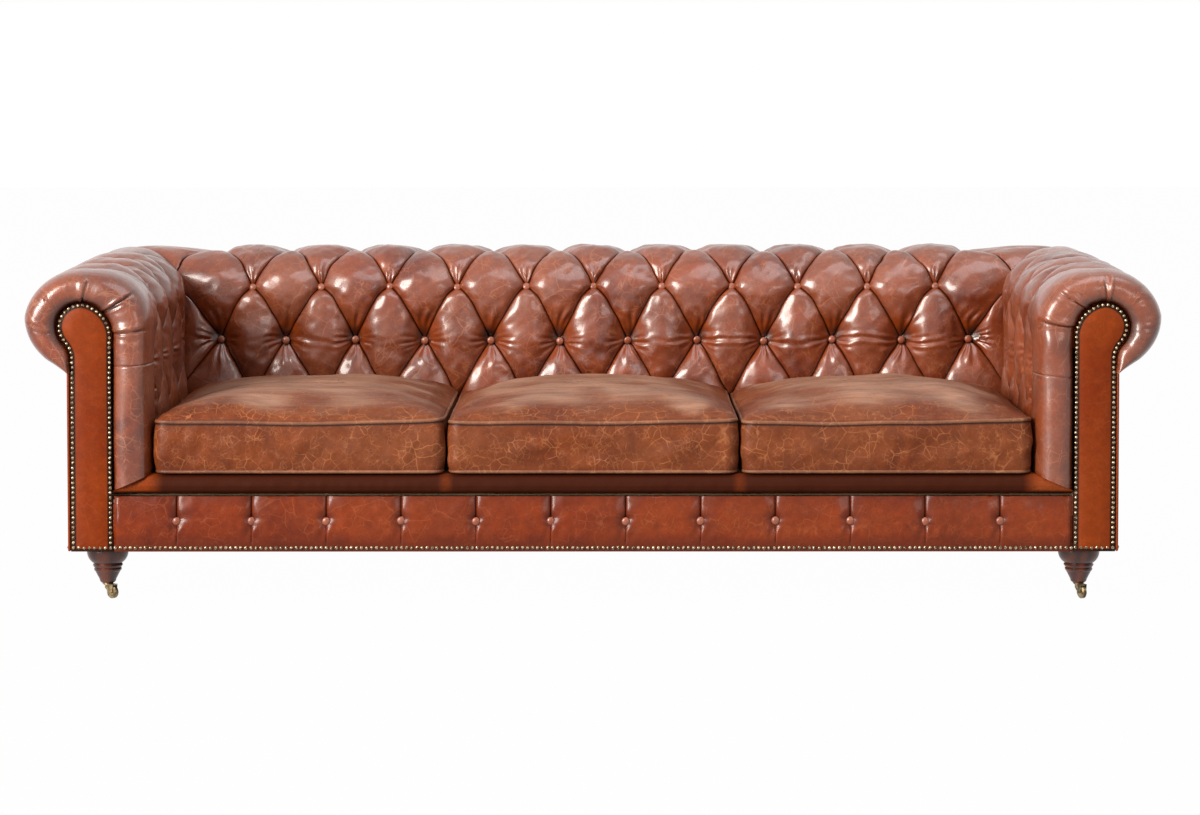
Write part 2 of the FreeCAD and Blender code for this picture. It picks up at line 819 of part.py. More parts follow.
def buttons():
    _, low, mid, high = button_runs()
    pitch = size("pitch")
    back, arm, border = [], [], []
    for i in range(BACK_ROW):
        x = pitch * (i - (BACK_ROW - 1) / 2)
        back += [buttons_on(across_back(x, 0), run) for run in (low, high)]
        if i:
            back.append(buttons_on(across_back(x - pitch / 2, 0), mid))
        ahead = V(x + size("border_shift"), -size("facing_plane") - 1, size("border_middle"))
        border.append(button_at(ahead, V(0, -1, 0)))
    for i, y in enumerate(arm_columns()):
        arm += [buttons_on(along_arm(y, 0), run) for run in (low, high)]
        if i:
            arm.append(buttons_on(along_arm(y + pitch / 2, 0), mid))
    formed("back_buttons", Part.makeCompound(back))
    arm += [dome.mirror(V(), V(1, 0, 0)) for dome in arm]
    formed("arm_buttons", Part.makeCompound(arm))
    formed("border_buttons", Part.makeCompound(border))


# Plain upholstery


def facings():
    facing = board_across("arm_facing_right", keyhole(GROW_FACING), "dims.facing_thick", FACING_BACK)
    named(facing, "arm_facing_right")
    mirrored("arm_facing_left", facing)


def outside_panels():
    thick = "dims.panel_reach - dims.frame_far"
    height = f"dims.crest - {ROLL_HEIGHT} - 0.4 - dims.body_bottom"
    rear = "dims.back_face + dims.panel_reach"
    x = "dims.inner_half + dims.frame_far"
    length = f"{rear} + dims.facing_plane - 2"
    side = box("outside_arm_right", x, "-dims.facing_plane + 2", "dims.body_bottom", thick, length, height)
    named(side, "outside_arm_right")
    mirrored("outside_arm_left", side)
    half = "(dims.inner_half + dims.frame_far)"
    y = "dims.back_face + dims.frame_far"
    named(box("outside_back", f"-{half}", y, "dims.body_bottom", f"2 * {half}", thick, height), "outside_back")


def border_section(x, seat):
    """A section of the front border. seat is the depth of its middle below its plump face."""
    front, back = -size("facing_plane"), -size("facing_plane") + size("border_thick")
    low, middle, top = size("body_bottom"), size("border_middle"), size("border_top")
    points = [
        V(x, back, low),
        V(x, front + 3, low),
        V(x, front - 7 + seat * 0.55, (low + middle) / 2),
        V(x, front - 6 + seat, middle),
        V(x, front - 7 + seat * 0.55, (middle + top) / 2),
        V(x, front + 5, top),
        V(x, back, top),
    ]
    edges = [Part.LineSegment(points[0], points[1]).toShape()]
    edges.append(Part.Arc(*points[1:4]).toShape())
    edges.append(Part.Arc(*points[3:6]).toShape())
    edges.append(Part.LineSegment(points[5], points[6]).toShape())
    edges.append(Part.LineSegment(points[6], points[0]).toShape())
    return edges


def front_border():
    """The padded strip below the seat, drawn in along an upright pleat at each button."""
    half = size("inner_half") + size("frame_near") - GROW_FACING - 0.5
    pitch = size("pitch")
    stations = [(-half, 6)]
    for i in range(2 * BORDER_ROW - 1):
        x = pitch / 2 * (i - BORDER_ROW + 1) + size("border_shift")
        stations.append((x, 0 if i % 2 else 11))
    stations.append((half, 6))
    formed("front_border", skin([border_section(x, seat) for x, seat in stations]))


def seat_lip():
    """The rolled edge in front of the cushions, its ends cut to the slope of the arm fronts."""
    lip = new_body("seat_lip")
    front, back = "(-dims.facing_plane)", "(-dims.facing_plane + dims.border_thick)"
    bottom = "dims.rail_top + 4"
    outline_of_lip = [
        (back, bottom),
        (f"{front} + 10", bottom),
        (f"{front} + 2", "dims.lip_corner - 3", (f"{front} - 5", "dims.lip_corner + 12")),
        (f"{front} + 18", "dims.deck"),
        (back, "dims.deck"),
    ]
    half = "(dims.inner_half + dims.frame_near - 3)"
    feature(lip, "Pad", "lip_pad", outline(lip, "lip_end", "YZ_Plane", outline_of_lip), f"2 * {half}")
    ends = {"left": "-1", "right": "1"}
    for name, sign in ends.items():
        rise = "3 * (dims.deck - dims.lip_corner) / dims.frame_near"
        slope = [
            (f"{half} + {sign} * (dims.inner_half + dims.frame_near)", "dims.lip_corner - 0.5"),
            (f"{half} + {sign} * (dims.inner_half - 3)", f"dims.deck - 0.5 + {rise}"),
            (f"{half} + {sign} * (dims.inner_half + dims.frame_near)", f"dims.deck - 0.5 + {rise}"),
        ]
        cutter = outline(lip, f"lip_slope_{name}", "XZ_Plane", slope)
        feature(lip, "Pocket", f"lip_mitre_{name}", cutter, "1000", midplane=True)
    place(lip, x=f"-{half}")
    lip.Tip = lip.Group[-1]
    named(lip, "seat_lip")


def seat_deck():
    front = "(-dims.facing_plane + dims.border_thick + 0.3)"
    bottom = "dims.rail_top + 4"
    half = "(dims.inner_half - 0.3)"
    deck = box(
        "seat_deck", f"-{half}", front, bottom, f"2 * {half}", f"dims.back_face - 0.3 - {front}", f"dims.deck - ({bottom})"
    )
    named(deck, "seat_deck")


def dust_cover():
    half = "(dims.inner_half + dims.frame_far)"
    front = "(-dims.facing_plane + dims.border_thick)"
    rear = "dims.back_face + dims.frame_far"
    cover = box(
        "dust_sheet", f"-{half}", front, "dims.body_bottom", f"2 * {half}", f"{rear} - {front}",
        "dims.rail_bottom - dims.body_bottom",
    )
    for corner, (x, y) in FEET.items():
        hole = cylinder(
            f"sheet_hole_{corner}", x, y, "dims.body_bottom - 5", "dims.stud_radius + dims.stud_clear", "20"
        )
        cover = cut(f"sheet_with_{corner}", cover, hole)
    named(cover, "dust_cover")


# Loose cushions

# Height above the upper seam, as a share of the crown, and inset of each level of a cushion's top
CUSHION_TOP = [(0.32, 14), (0.62, 46), (0.84, 104), (0.96, 180), (1, 250)]


def rounded_rectangle(half_x, half_y, radius, level):
    """A closed wire of four lines and four quarter arcs round the origin."""
    edges = []
    shift = radius * (1 - math.sqrt(0.5))
    signs = [(1, 1), (-1, 1), (-1, -1), (1, -1)]
    for i, (sx, sy) in enumerate(signs):
        across = V(sx * (half_x - radius), sy * half_y, level)
        along = V(sx * half_x, sy * (half_y - radius), level)
        via = V(sx * (half_x - shift), sy * (half_y - shift), level)
        first, last = (along, across) if sx * sy > 0 else (across, along)
        edges.append(Part.Arc(first, via, last).toShape())
        nx, ny = signs[(i + 1) % 4]
        following = V(nx * half_x, ny * (half_y - radius), level)
        if nx * ny < 0:
            following = V(nx * (half_x - radius), ny * half_y, level)
        edges.append(Part.LineSegment(last, following).toShape())
    return Part.Wire(edges)


def cushion_form(inset):
    """A cushion with drawn-in sides and a crowned top, inset all round; its base is centred."""
    half_x = (2 * size("inner_half") - 4 * size("cushion_gap")) / 6 - inset
    half_y = (size("cushion_front") + size("cushion_back")) / 2 - inset
    boxing, crown, waist = size("boxing"), size("crown"), 3
    levels = [(inset, 0), (boxing / 2, waist), (boxing, 0)]
    levels += [(boxing + crown * share - inset, back) for share, back in CUSHION_TOP]
    wires = []
    for level, back in levels:
        radius = 22 + back * 0.12
        wires.append(rounded_rectangle(half_x - back, half_y - back, radius, level))
    return Part.makeLoft(wires, True, True)


def cushions():
    pitch = (2 * size("inner_half") - 4 * size("cushion_gap")) / 3 + size("cushion_gap")
    y = (size("cushion_back") - size("cushion_front")) / 2
    thick = size("cover_thick")
    for name, step in (("left", -1), ("middle", 0), ("right", 1)):
        spot = V(step * pitch, y, size("deck") + 0.3)
        cover = formed(f"cushion_cover_{name}", cushion_form(0).cut(cushion_form(thick)))
        core = formed(f"cushion_core_{name}", cushion_form(thick + 0.3))
        for piece in (cover, core):
            piece.Placement = FreeCAD.Placement(spot, FreeCAD.Rotation())


# Feet and casters


def foot(corner, x, y):
    """A turned bun foot with two rings over a taper, bored for its bolt and its caster."""
    top, low = "dims.body_bottom", "dims.foot_bottom"
    bolt = "dims.stud_radius"
    bore = "dims.stem_radius + 0.1"
    half = [
        (bolt, top),
        ("dims.foot_radius - 1", top, ("dims.foot_radius", "98")),
        ("dims.foot_radius - 11", "79"),
        ("30", "77"),
        ("32.5", "73"),
        ("30", "68.5"),
        ("28", "67"),
        ("30", "64.5"),
        ("29", "61"),
        ("27", "59"),
        ("18", "41.5", ("15.5", "35.5")),
        ("11.5", low),
        (bore, low),
        (bore, f"{low} + 24"),
        (bolt, f"{low} + 24"),
    ]
    named(turned(f"foot_{corner}", half, x, y), f"foot_{corner}")


def foot_bolts():
    bolts = []
    for corner, (x, y) in FEET.items():
        bolts.append(cylinder(f"bolt_{corner}", x, y, "dims.foot_bottom + 26", "dims.stud_radius", "100"))
    together("foot_bolts", bolts)


def caster(corner, x, y, turn):
    """A plate caster: fixed socket, swivelling horn with its axle, and a brass wheel."""
    low = "dims.foot_bottom"
    bridge, thick = "(2 * dims.wheel_radius + 0.8)", "2.2"
    socket = [
        ("dims.stem_radius + dims.running", f"{low} - 1.8"),
        ("12", f"{low} - 1.8"),
        ("11", low),
        ("dims.stem_radius + dims.running", low),
    ]
    named(turned(f"caster_socket_{corner}", socket, x, y), f"caster_socket_{corner}")

    horn = new_body(f"caster_horn_{corner}")
    wide = "dims.wheel_width + 1.4"
    cheek = [
        ("dims.trail - 5", "dims.wheel_radius"),
        ("dims.trail + 5", "dims.wheel_radius"),
        ("dims.trail + 7", f"{bridge} + {thick}"),
        ("-2", f"{bridge} + {thick}"),
        ("-2", f"{bridge} - 6"),
    ]
    side = outline(horn, f"horn_side_{corner}", "XZ_Plane", cheek)
    feature(horn, "Pad", f"horn_cheeks_{corner}", side, f"{wide} + 4", midplane=True)
    window = [("-20", "0"), ("50", "0"), ("50", bridge), ("-20", bridge)]
    gap = outline(horn, f"horn_gap_{corner}", "XZ_Plane", window)
    feature(horn, "Pocket", f"horn_slot_{corner}", gap, wide, midplane=True)
    plate = circle_sketch(horn, f"horn_disc_{corner}", "XY_Plane", "0", "0", "9.5", bridge)
    feature(horn, "Pad", f"horn_plate_{corner}", plate, thick)
    stem = circle_sketch(horn, f"horn_stem_{corner}", "XY_Plane", "0", "0", "dims.stem_radius", bridge)
    feature(horn, "Pad", f"horn_pin_{corner}", stem, "24")
    hole = circle_sketch(
        horn, f"horn_hole_{corner}", "XZ_Plane", "dims.trail", "dims.wheel_radius", "dims.axle_radius"
    )
    feature(horn, "Pocket", f"horn_bore_{corner}", hole, "60", midplane=True)
    place(horn, x, y, turn=turn)
    named(horn, f"caster_horn_{corner}")

    wheel = new_body(f"caster_wheel_{corner}")
    half = "dims.wheel_width / 2"
    rim = [
        ("dims.axle_radius + dims.running", f"-{half}"),
        ("dims.wheel_radius - 3", f"-{half}"),
        ("dims.wheel_radius", f"-{half} + 2.5"),
        ("dims.wheel_radius", f"{half} - 2.5"),
        ("dims.wheel_radius - 3", half),
        ("dims.axle_radius + dims.running", half),
    ]
    section_of_rim = outline(wheel, f"wheel_half_{corner}", "YZ_Plane", [(z, r) for r, z in rim])
    spin = wheel.newObject("PartDesign::Revolution", f"wheel_turned_{corner}")
    spin.Profile = section_of_rim
    spin.ReferenceAxis = (section_of_rim, ["H_Axis"])
    spin.Angle = 360
    trailing = FreeCAD.Rotation(UP, turn)
    across, along = (f"{trailing.multVec(V(1, 0, 0))[i]:.5f} * dims.trail" for i in (0, 1))
    place(wheel, f"{x} + {across}", f"{y} + {along}", "dims.wheel_radius", turn)
    named(wheel, f"caster_wheel_{corner}")

    axle = new_body(f"caster_axle_{corner}")
    pin_end = circle_sketch(axle, f"axle_end_{corner}", "XZ_Plane", "0", "0", "dims.axle_radius")
    feature(axle, "Pad", f"axle_pin_{corner}", pin_end, f"{wide} + 5", midplane=True)
    place(axle, f"{x} + {across}", f"{y} + {along}", "dims.wheel_radius", turn)
    named(axle, f"caster_axle_{corner}")


FACING_BACK = "(-dims.facing_plane + dims.facing_thick)"

# How far a facing stands out all round over the board behind it
GROW_FACING = 2


def main():
    seat_frame()
    arm_frame()
    back_frame()
    roll_formers()
    seat_webbing()
    foams()
    covers()
    buttons()
    facings()
    outside_panels()
    front_border()
    seat_lip()
    seat_deck()
    dust_cover()
    cushions()
    foot_bolts()
    for corner, (x, y) in FEET.items():
        foot(corner, x, y)
        caster(corner, x, y, CASTER_TURNS[corner])
    doc.recompute()
    write_parts()


def write_parts():
    os.makedirs("parts", exist_ok=True)
    for thing in doc.Objects:
        if "Invalid" in thing.State or "Error" in thing.State:
            raise RuntimeError(f"{thing.Label} failed: {thing.State}")
    for label, thing in sorted(pieces.items()):
        shape = thing.Shape
        if shape.isNull() or not shape.isValid() or not shape.Solids:
            raise RuntimeError(f"{label} has no valid solid")
        litres = shape.Volume / 1e6
        print(f"{label}: {len(shape.Solids)} solids, {len(shape.Faces)} faces, {litres:.3f} litres")
        shape.exportStep(f"parts/{label}.step")


main()
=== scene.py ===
"""Dresses the chesterfield sofa: buttoned hides, boxed cushions, nailed facings, aged leather and wood.

Lengths are metres. Inside the arms and the back one roll profile is used, as in the part's source: u is
the distance outwards from the face that the sitter touches, z the height and s the run along the profile
from the deck. The distance from the mitre where an arm meets the back is called off.
"""

import json
import math

import bpy
import numpy as np
from mathutils import Matrix, Vector

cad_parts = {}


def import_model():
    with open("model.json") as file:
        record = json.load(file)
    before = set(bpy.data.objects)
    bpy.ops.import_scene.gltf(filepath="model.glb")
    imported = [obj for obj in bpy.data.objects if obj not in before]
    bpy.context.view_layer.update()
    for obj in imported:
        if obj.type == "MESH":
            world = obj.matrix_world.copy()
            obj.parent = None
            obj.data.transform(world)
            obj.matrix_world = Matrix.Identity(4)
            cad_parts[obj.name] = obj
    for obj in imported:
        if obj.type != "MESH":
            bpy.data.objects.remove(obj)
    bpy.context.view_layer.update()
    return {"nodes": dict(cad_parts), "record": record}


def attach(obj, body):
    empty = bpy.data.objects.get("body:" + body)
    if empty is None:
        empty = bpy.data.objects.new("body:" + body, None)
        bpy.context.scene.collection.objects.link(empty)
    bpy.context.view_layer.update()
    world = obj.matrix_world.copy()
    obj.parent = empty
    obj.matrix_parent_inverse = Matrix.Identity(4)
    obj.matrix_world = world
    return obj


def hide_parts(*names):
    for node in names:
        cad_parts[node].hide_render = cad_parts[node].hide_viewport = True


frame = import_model()

INNER_HALF = 0.950
BACK_FACE = 0.203
FACING_PLANE = 0.470
DECK = 0.279
BODY_BOTTOM = 0.112
CREST = 0.734
ARM_CREST = 0.716
ROLL_HEIGHT = 0.237
# An arm's roll falls towards its front by this share of its height above the outside panel
ARM_FALL = (CREST - ARM_CREST) / ROLL_HEIGHT
ROLL_REACH = 0.276
PANEL_REACH = 0.180
FRAME_NEAR = 0.084
FRAME_FAR = 0.174
LIP_CORNER = 0.243
PITCH = 0.161
HALF_PITCH = PITCH / 2
# Buttons stand this far from the mitre, and their rows at these runs up the profile
FIRST_COLUMN = 0.0645
HIDDEN_ROW, LOW_ROW, MIDDLE_ROW, TOP_ROW = 0.100, 0.235, 0.370, 0.550
ARM_COLUMNS = 4
LAST_COLUMN = FIRST_COLUMN + PITCH * (ARM_COLUMNS - 1)
SCROLL_CENTRE = (0.145, 0.597)

SIDES = {"left": -1, "right": 1}


# Meshes


def deselect():
    if bpy.context.object and bpy.context.object.mode != "OBJECT":
        bpy.ops.object.mode_set(mode="OBJECT")
    bpy.ops.object.select_all(action="DESELECT")


def only(piece):
    deselect()
    piece.select_set(True)
    bpy.context.view_layer.objects.active = piece


def added(name):
    """Names the primitive that was just added."""
    piece = bpy.context.object
    piece.name = name
    piece.data.name = name
    return piece


def sheet_of(name, points):
    """A grid whose points are given as an array of (rows, columns, 3)."""
    rows, columns = points.shape[:2]
    deselect()
    bpy.ops.mesh.primitive_grid_add(x_subdivisions=columns - 1, y_subdivisions=rows - 1, size=2)
    piece = added(name)
    flat = np.zeros(rows * columns * 3)
    piece.data.vertices.foreach_get("co", flat)
    flat = flat.reshape(-1, 3)
    column = np.rint((flat[:, 0] + 1) / 2 * (columns - 1)).astype(int)
    row = np.rint((flat[:, 1] + 1) / 2 * (rows - 1)).astype(int)
    piece.data.vertices.foreach_set("co", points[row, column].ravel())
    return piece, row, column


def give_values(piece, name, values):
    """Keeps one number for each point of a piece, for its material to read."""
    layer = piece.data.attributes.new(name, "FLOAT", "POINT")
    layer.data.foreach_set("value", np.asarray(values, dtype=np.float32).ravel())


def give_map(piece, across, up):
    """The piece's own map: how far each point lies along and up the hide, in metres."""
    layer = piece.data.uv_layers.get("hide") or piece.data.uv_layers.new(name="hide")
    corners = np.zeros(len(piece.data.loops), dtype=int)
    piece.data.loops.foreach_get("vertex_index", corners)
    spots = np.stack([np.ravel(across)[corners], np.ravel(up)[corners]], axis=1)
    layer.data.foreach_set("uv", spots.astype(np.float32).ravel())


def tidy(piece, gap=0.00002, close=True):
    """Merges what coincides, closes open ends and turns every face outwards."""
    only(piece)
    bpy.ops.object.mode_set(mode="EDIT")
    bpy.ops.mesh.select_all(action="SELECT")
    bpy.ops.mesh.remove_doubles(threshold=gap)
    bpy.ops.mesh.dissolve_degenerate(threshold=gap)
    if close:
        bpy.ops.mesh.select_all(action="SELECT")
        bpy.ops.mesh.fill_holes(sides=0)
        bpy.ops.mesh.select_all(action="SELECT")
    bpy.ops.mesh.normals_make_consistent(inside=False)
    bpy.ops.object.mode_set(mode="OBJECT")


def smooth(piece, angle):
    """Shades a piece smoothly, except where it bends by more than angle, in degrees."""
    only(piece)
    bpy.ops.object.shade_smooth_by_angle(angle=math.radians(angle))


def joined(name, pieces):
    """One piece made of several."""
    deselect()
    for piece in pieces:
        piece.select_set(True)
    bpy.context.view_layer.objects.active = pieces[0]
    bpy.ops.object.join()
    return added(name)


def copies(name, pattern, spots):
    """Copies of a modelled pattern, each with its own mesh, stood on its spot and joined as one piece."""
    made = []
    for where in spots:
        mesh = pattern.data.copy()
        mesh.transform(where)
        piece = bpy.data.objects.new(name, mesh)
        bpy.context.scene.collection.objects.link(piece)
        made.append(piece)
    return joined(name, made)


def drop(piece):
    bpy.data.objects.remove(piece, do_unlink=True)


def standing(spot, out, turn=0):
    """Puts the +Z of a pattern along out at spot."""
    turned = Vector(out).to_track_quat("Z", "Y").to_matrix().to_4x4()
    return Matrix.Translation(Vector(spot)) @ turned @ Matrix.Rotation(turn, 4, "Z")


def ease(value, low, high):
    """Rises smoothly from 0 at low to 1 at high."""
    t = np.clip((value - low) / (high - low), 0, 1)
    return t * t * (3 - 2 * t)


def ripple(a, b, size, seed):
    """Soft uneven noise from about -1 to 1 whose bumps are about size across."""
    chance = np.random.default_rng(seed)
    total = np.zeros(np.broadcast(a, b).shape)
    for _ in range(7):
        angle, phase = chance.uniform(0, math.pi), chance.uniform(0, 2 * math.pi)
        wave = size * chance.uniform(1.4, 2.8)
        total += np.sin(2 * math.pi * (a * math.cos(angle) + b * math.sin(angle)) / wave + phase)
    return total / 3.2


# Lines of points


def runs_along(line):
    """The run from a line's start to each of its points."""
    return np.concatenate([[0], np.cumsum(np.linalg.norm(np.diff(line, axis=0), axis=1))])


def evenly(line, count):
    """A line's course as count evenly spaced points."""
    runs = runs_along(line)
    even = np.linspace(0, runs[-1], count)
    return np.stack([np.interp(even, runs, line[:, k]) for k in range(line.shape[1])], axis=1)


def softened(values, reach, turned_over=False):
    """A row of values, each averaged with its neighbours up to reach places away. Past its ends the row
    stays level, or goes on as itself turned over."""
    beyond = {"mode": "reflect", "reflect_type": "odd"} if turned_over else {"mode": "edge"}
    window = np.hanning(2 * reach + 1)
    return np.convolve(np.pad(values, reach, **beyond), window / window.sum(), "valid")


def arc_points(start, via, end, count):
    """Points of the arc from start through via to end, start left out."""
    (ax, ay), (bx, by), (cx, cy) = start, via, end
    d = 2 * (ax * (by - cy) + bx * (cy - ay) + cx * (ay - by))
    a2, b2, c2 = ax * ax + ay * ay, bx * bx + by * by, cx * cx + cy * cy
    ox = (a2 * (by - cy) + b2 * (cy - ay) + c2 * (ay - by)) / d
    oy = (a2 * (cx - bx) + b2 * (ax - cx) + c2 * (bx - ax)) / d
    radius = math.hypot(ax - ox, ay - oy)
    first, last = math.atan2(ay - oy, ax - ox), math.atan2(cy - oy, cx - ox)
    middle = math.atan2(by - oy, bx - ox)
    turn = (last - first) % (2 * math.pi)
    if (middle - first) % (2 * math.pi) > turn:
        turn -= 2 * math.pi
    angles = first + turn * (np.arange(1, count + 1) / count)
    return [(ox + radius * math.cos(angle), oy + radius * math.sin(angle)) for angle in angles]


# The roll


def roll_profile():
    """The line of a roll from the deck up, over and under to the outside panel."""
    points = [(0, DECK), (0, CREST - 0.112)]
    points += arc_points(points[-1], (0.036, CREST - 0.036), (0.130, CREST), 60)
    points += arc_points(points[-1], (0.228, CREST - 0.026), (ROLL_REACH, CREST - 0.106), 60)
    under = (ROLL_REACH - 0.050, CREST - 0.210)
    points += arc_points(points[-1], (ROLL_REACH - 0.013, CREST - 0.164), under, 40)
    points.append((PANEL_REACH, CREST - ROLL_HEIGHT))
    points = np.array(points)
    even = np.linspace(0, runs_along(points)[-1], 1200)
    points = evenly(points, len(even))
    slope = np.gradient(points, even, axis=0)
    # The outward direction turns gently where two arcs meet
    slope = np.stack([softened(slope[:, k], 12) for k in (0, 1)], axis=1)
    slope /= np.linalg.norm(slope, axis=1)[:, None]
    return even, points, np.stack([-slope[:, 1], slope[:, 0]], axis=1)


RUNS, PROFILE, PROFILE_OUT = roll_profile()
WHOLE_RUN = float(RUNS[-1])


def on_profile(s, depth):
    """(u, z) of the point depth below the profile at run s."""
    u = np.interp(s, RUNS, PROFILE[:, 0]) - depth * np.interp(s, RUNS, PROFILE_OUT[:, 0])
    z = np.interp(s, RUNS, PROFILE[:, 1]) - depth * np.interp(s, RUNS, PROFILE_OUT[:, 1])
    return u, z


def growth(off):
    """How far the hide spreads outwards with u as it nears the mitre."""
    return np.clip((FIRST_COLUMN - off) / FIRST_COLUMN, 0, 1)


def on_back(x, u, z):
    spread = growth(INNER_HALF - np.abs(x))
    return np.stack([x + np.sign(x) * spread * u, BACK_FACE + u + 0 * x, z + 0 * x], axis=-1)


def on_arm(side, off, u, z):
    """The roll of an arm falls gently towards its front."""
    run = off / (BACK_FACE + FACING_PLANE)
    x = side * (INNER_HALF + u + 0 * off)
    y = BACK_FACE - off + growth(off) * u
    height = z - np.maximum(z - CREST + ROLL_HEIGHT, 0) * ARM_FALL * run
    return np.stack([x, y, height + 0 * off], axis=-1)


# Deep buttoning


def pleat_offset(s):
    """How far the two pleats that leave a column of low buttons stand from it at run s."""
    below = HALF_PITCH * np.clip((LOW_ROW - s) / (LOW_ROW - HIDDEN_ROW), 0, 1) ** 0.85
    rise = np.clip((MIDDLE_ROW - s) / (MIDDLE_ROW - LOW_ROW), 0, 1)
    between_rows = HALF_PITCH * (1 - rise ** 0.76)
    above = HALF_PITCH * np.clip((TOP_ROW - s) / (TOP_ROW - MIDDLE_ROW), 0, 1) ** 0.96
    offset = np.where(s < LOW_ROW, below, np.where(s < MIDDLE_ROW, between_rows, above))
    return np.where(s < HIDDEN_ROW, HALF_PITCH, offset)


def soft_offset(s):
    """pleat_offset without its corners at the rows of buttons, for the swell inside the pads."""
    return np.interp(s, RUNS, softened(pleat_offset(RUNS), 30))


def mesh_offset(s):
    """pleat_offset, kept open where pleats have run together, so that the mesh doesn't bunch there."""
    open_top = 0.030 * ease(s, TOP_ROW, TOP_ROW + 0.09)
    open_low = 0.030 * ease(HIDDEN_ROW - s, 0, 0.09)
    return np.clip(pleat_offset(s), open_top, HALF_PITCH - open_low)


def swell(near, offset):
    """How full a pad is, from 0 in its pleats to 1 at its middle."""
    reach = np.where(near < offset, offset, HALF_PITCH - offset)
    share = np.clip(np.abs(near - offset) / np.maximum(reach, 1e-6), 0, 1)
    width = np.sin(math.pi / 2 * np.clip(reach / HALF_PITCH, 0, 1)) ** 0.85
    return np.sin(math.pi / 2 * share) ** 0.58 * width


# Depths below the roll's line: a pleat's, a button's seat, a low button's seat and the greatest
PLEAT_DEPTH, BUTTON_SEAT, LOW_BUTTON_SEAT, GREATEST_DEPTH = 0.0165, 0.034, 0.039, 0.040
# How far a fold may stand proud of the roll's line
PROUD = 0.002
# The darkest painted shade round a low button lies this far to one side of it and this far above it
CORE_ASIDE, CORE_RISE = 0.005, 0.013


def hollows(off, across, s, seed, last=None):
    """The shape of the buttoned hide: how deep each point lies below the roll's line, how much shade is
    painted on it near a pleat and round the low buttons, how far it stands beside its column of low buttons
    and how much shade is painted over the dips round its buttons. off is the distance from the mitre, across
    tells one pad from the next. last is the column in front of which an arm's hide runs plain to its scroll."""
    column = np.rint((off - FIRST_COLUMN) / PITCH)
    if last is not None:
        column = np.minimum(column, round((last - FIRST_COLUMN) / PITCH))
    aside = off - FIRST_COLUMN - column * PITCH
    near = np.abs(aside)
    offset = pleat_offset(s)
    gap = np.abs(near - offset)
    inside = ease(gap, 0.001, 0.020)
    puff = swell(near, offset) * (1 - inside) + swell(near, soft_offset(s)) * inside
    if last is not None:
        lead = np.where((s > LOW_ROW) & (s < TOP_ROW), offset, 0)
        ahead = off - last + lead
        gap = np.where(ahead > 0, np.abs(ahead), gap)
        puff = np.where(ahead > 0, np.sin(math.pi / 2 * np.clip(ahead / 0.075, 0, 1)) ** 0.58, puff)
    # The mitre is one more pleat, drawn in where the arm's hide meets the back's
    u, _ = on_profile(s, 0 * s)
    mitre = off * (1 + np.where(off < FIRST_COLUMN, u, FIRST_COLUMN) / FIRST_COLUMN)
    puff = puff * (1 - np.exp(-np.maximum(mitre, 0) / 0.020))
    low = np.hypot(near, s - LOW_ROW)
    middle = np.hypot(near - HALF_PITCH, s - MIDDLE_ROW)
    button = np.minimum.reduce([
        low, middle, np.hypot(near, s - TOP_ROW), np.hypot(near - HALF_PITCH, s - HIDDEN_ROW),
    ])
    floor = PLEAT_DEPTH - 0.002 * ease(s, TOP_ROW - 0.06, TOP_ROW + 0.04)
    floor = floor * (1 - 0.70 * ease(s, WHOLE_RUN - 0.16, WHOLE_RUN - 0.03))
    seat = floor + (BUTTON_SEAT - floor) * np.exp(-((button / 0.026) ** 1.3))
    seat = np.maximum(seat, floor + (LOW_BUTTON_SEAT - floor) * np.exp(-((low / 0.046) ** 1.6)))
    uneven = 0.14 * ripple(across, s, 0.11, seed)
    depth = (1 - np.clip(puff * (1 + uneven * (1 - puff) * 2), 0, 1)) * seat
    # The low buttons pull a wide dip into the pads round them, the widest in the pad above
    dip = np.hypot(near / 0.036, np.where(s > LOW_ROW, s - LOW_ROW, (LOW_ROW - s) * 1.6) / 0.050)
    depth = depth + 0.0150 * np.exp(-(dip ** 2)) * np.clip(puff * 1.5, 0, 1)
    crack = 0.0042 * np.exp(-gap / 0.0013) * (1 - 0.6 * ease(s, TOP_ROW, TOP_ROW + 0.10))
    depth = np.minimum(depth + crack, GREATEST_DEPTH)
    # pleat is painted shade: along the pleats, round each low button and darkest a little above it
    pleat = np.exp(-gap / 0.0020) * (1 - 0.30 * ease(s, TOP_ROW, TOP_ROW + 0.10))
    pleat = np.maximum(pleat, 0.95 * np.exp(-((low / 0.0185) ** 2.6)))
    core = np.hypot(aside + CORE_ASIDE, (s - LOW_ROW - CORE_RISE) * 0.85)
    darkest = 0.84 + 0.12 * ripple(across, 0 * s, 0.13, seed + 12)
    pleat = np.maximum(pleat, darkest * np.exp(-((core / 0.030) ** 2.0)))
    # Painted shade over the wide dip round each low button and round each middle button, darker where the
    # hide lies deeper
    halo = np.hypot(near / 0.034, np.where(s > LOW_ROW, s - LOW_ROW, (LOW_ROW - s) * 1.4) / 0.046)
    painted_dip_shade = 1.1 * np.exp(-(halo ** 2.4)) + 0.5 * np.exp(-((middle / 0.018) ** 2))
    painted_dip_shade = painted_dip_shade + 0.3 * ease(depth, 0.012, 0.026)
    return depth, pleat, aside, np.clip(painted_dip_shade, 0, 1)


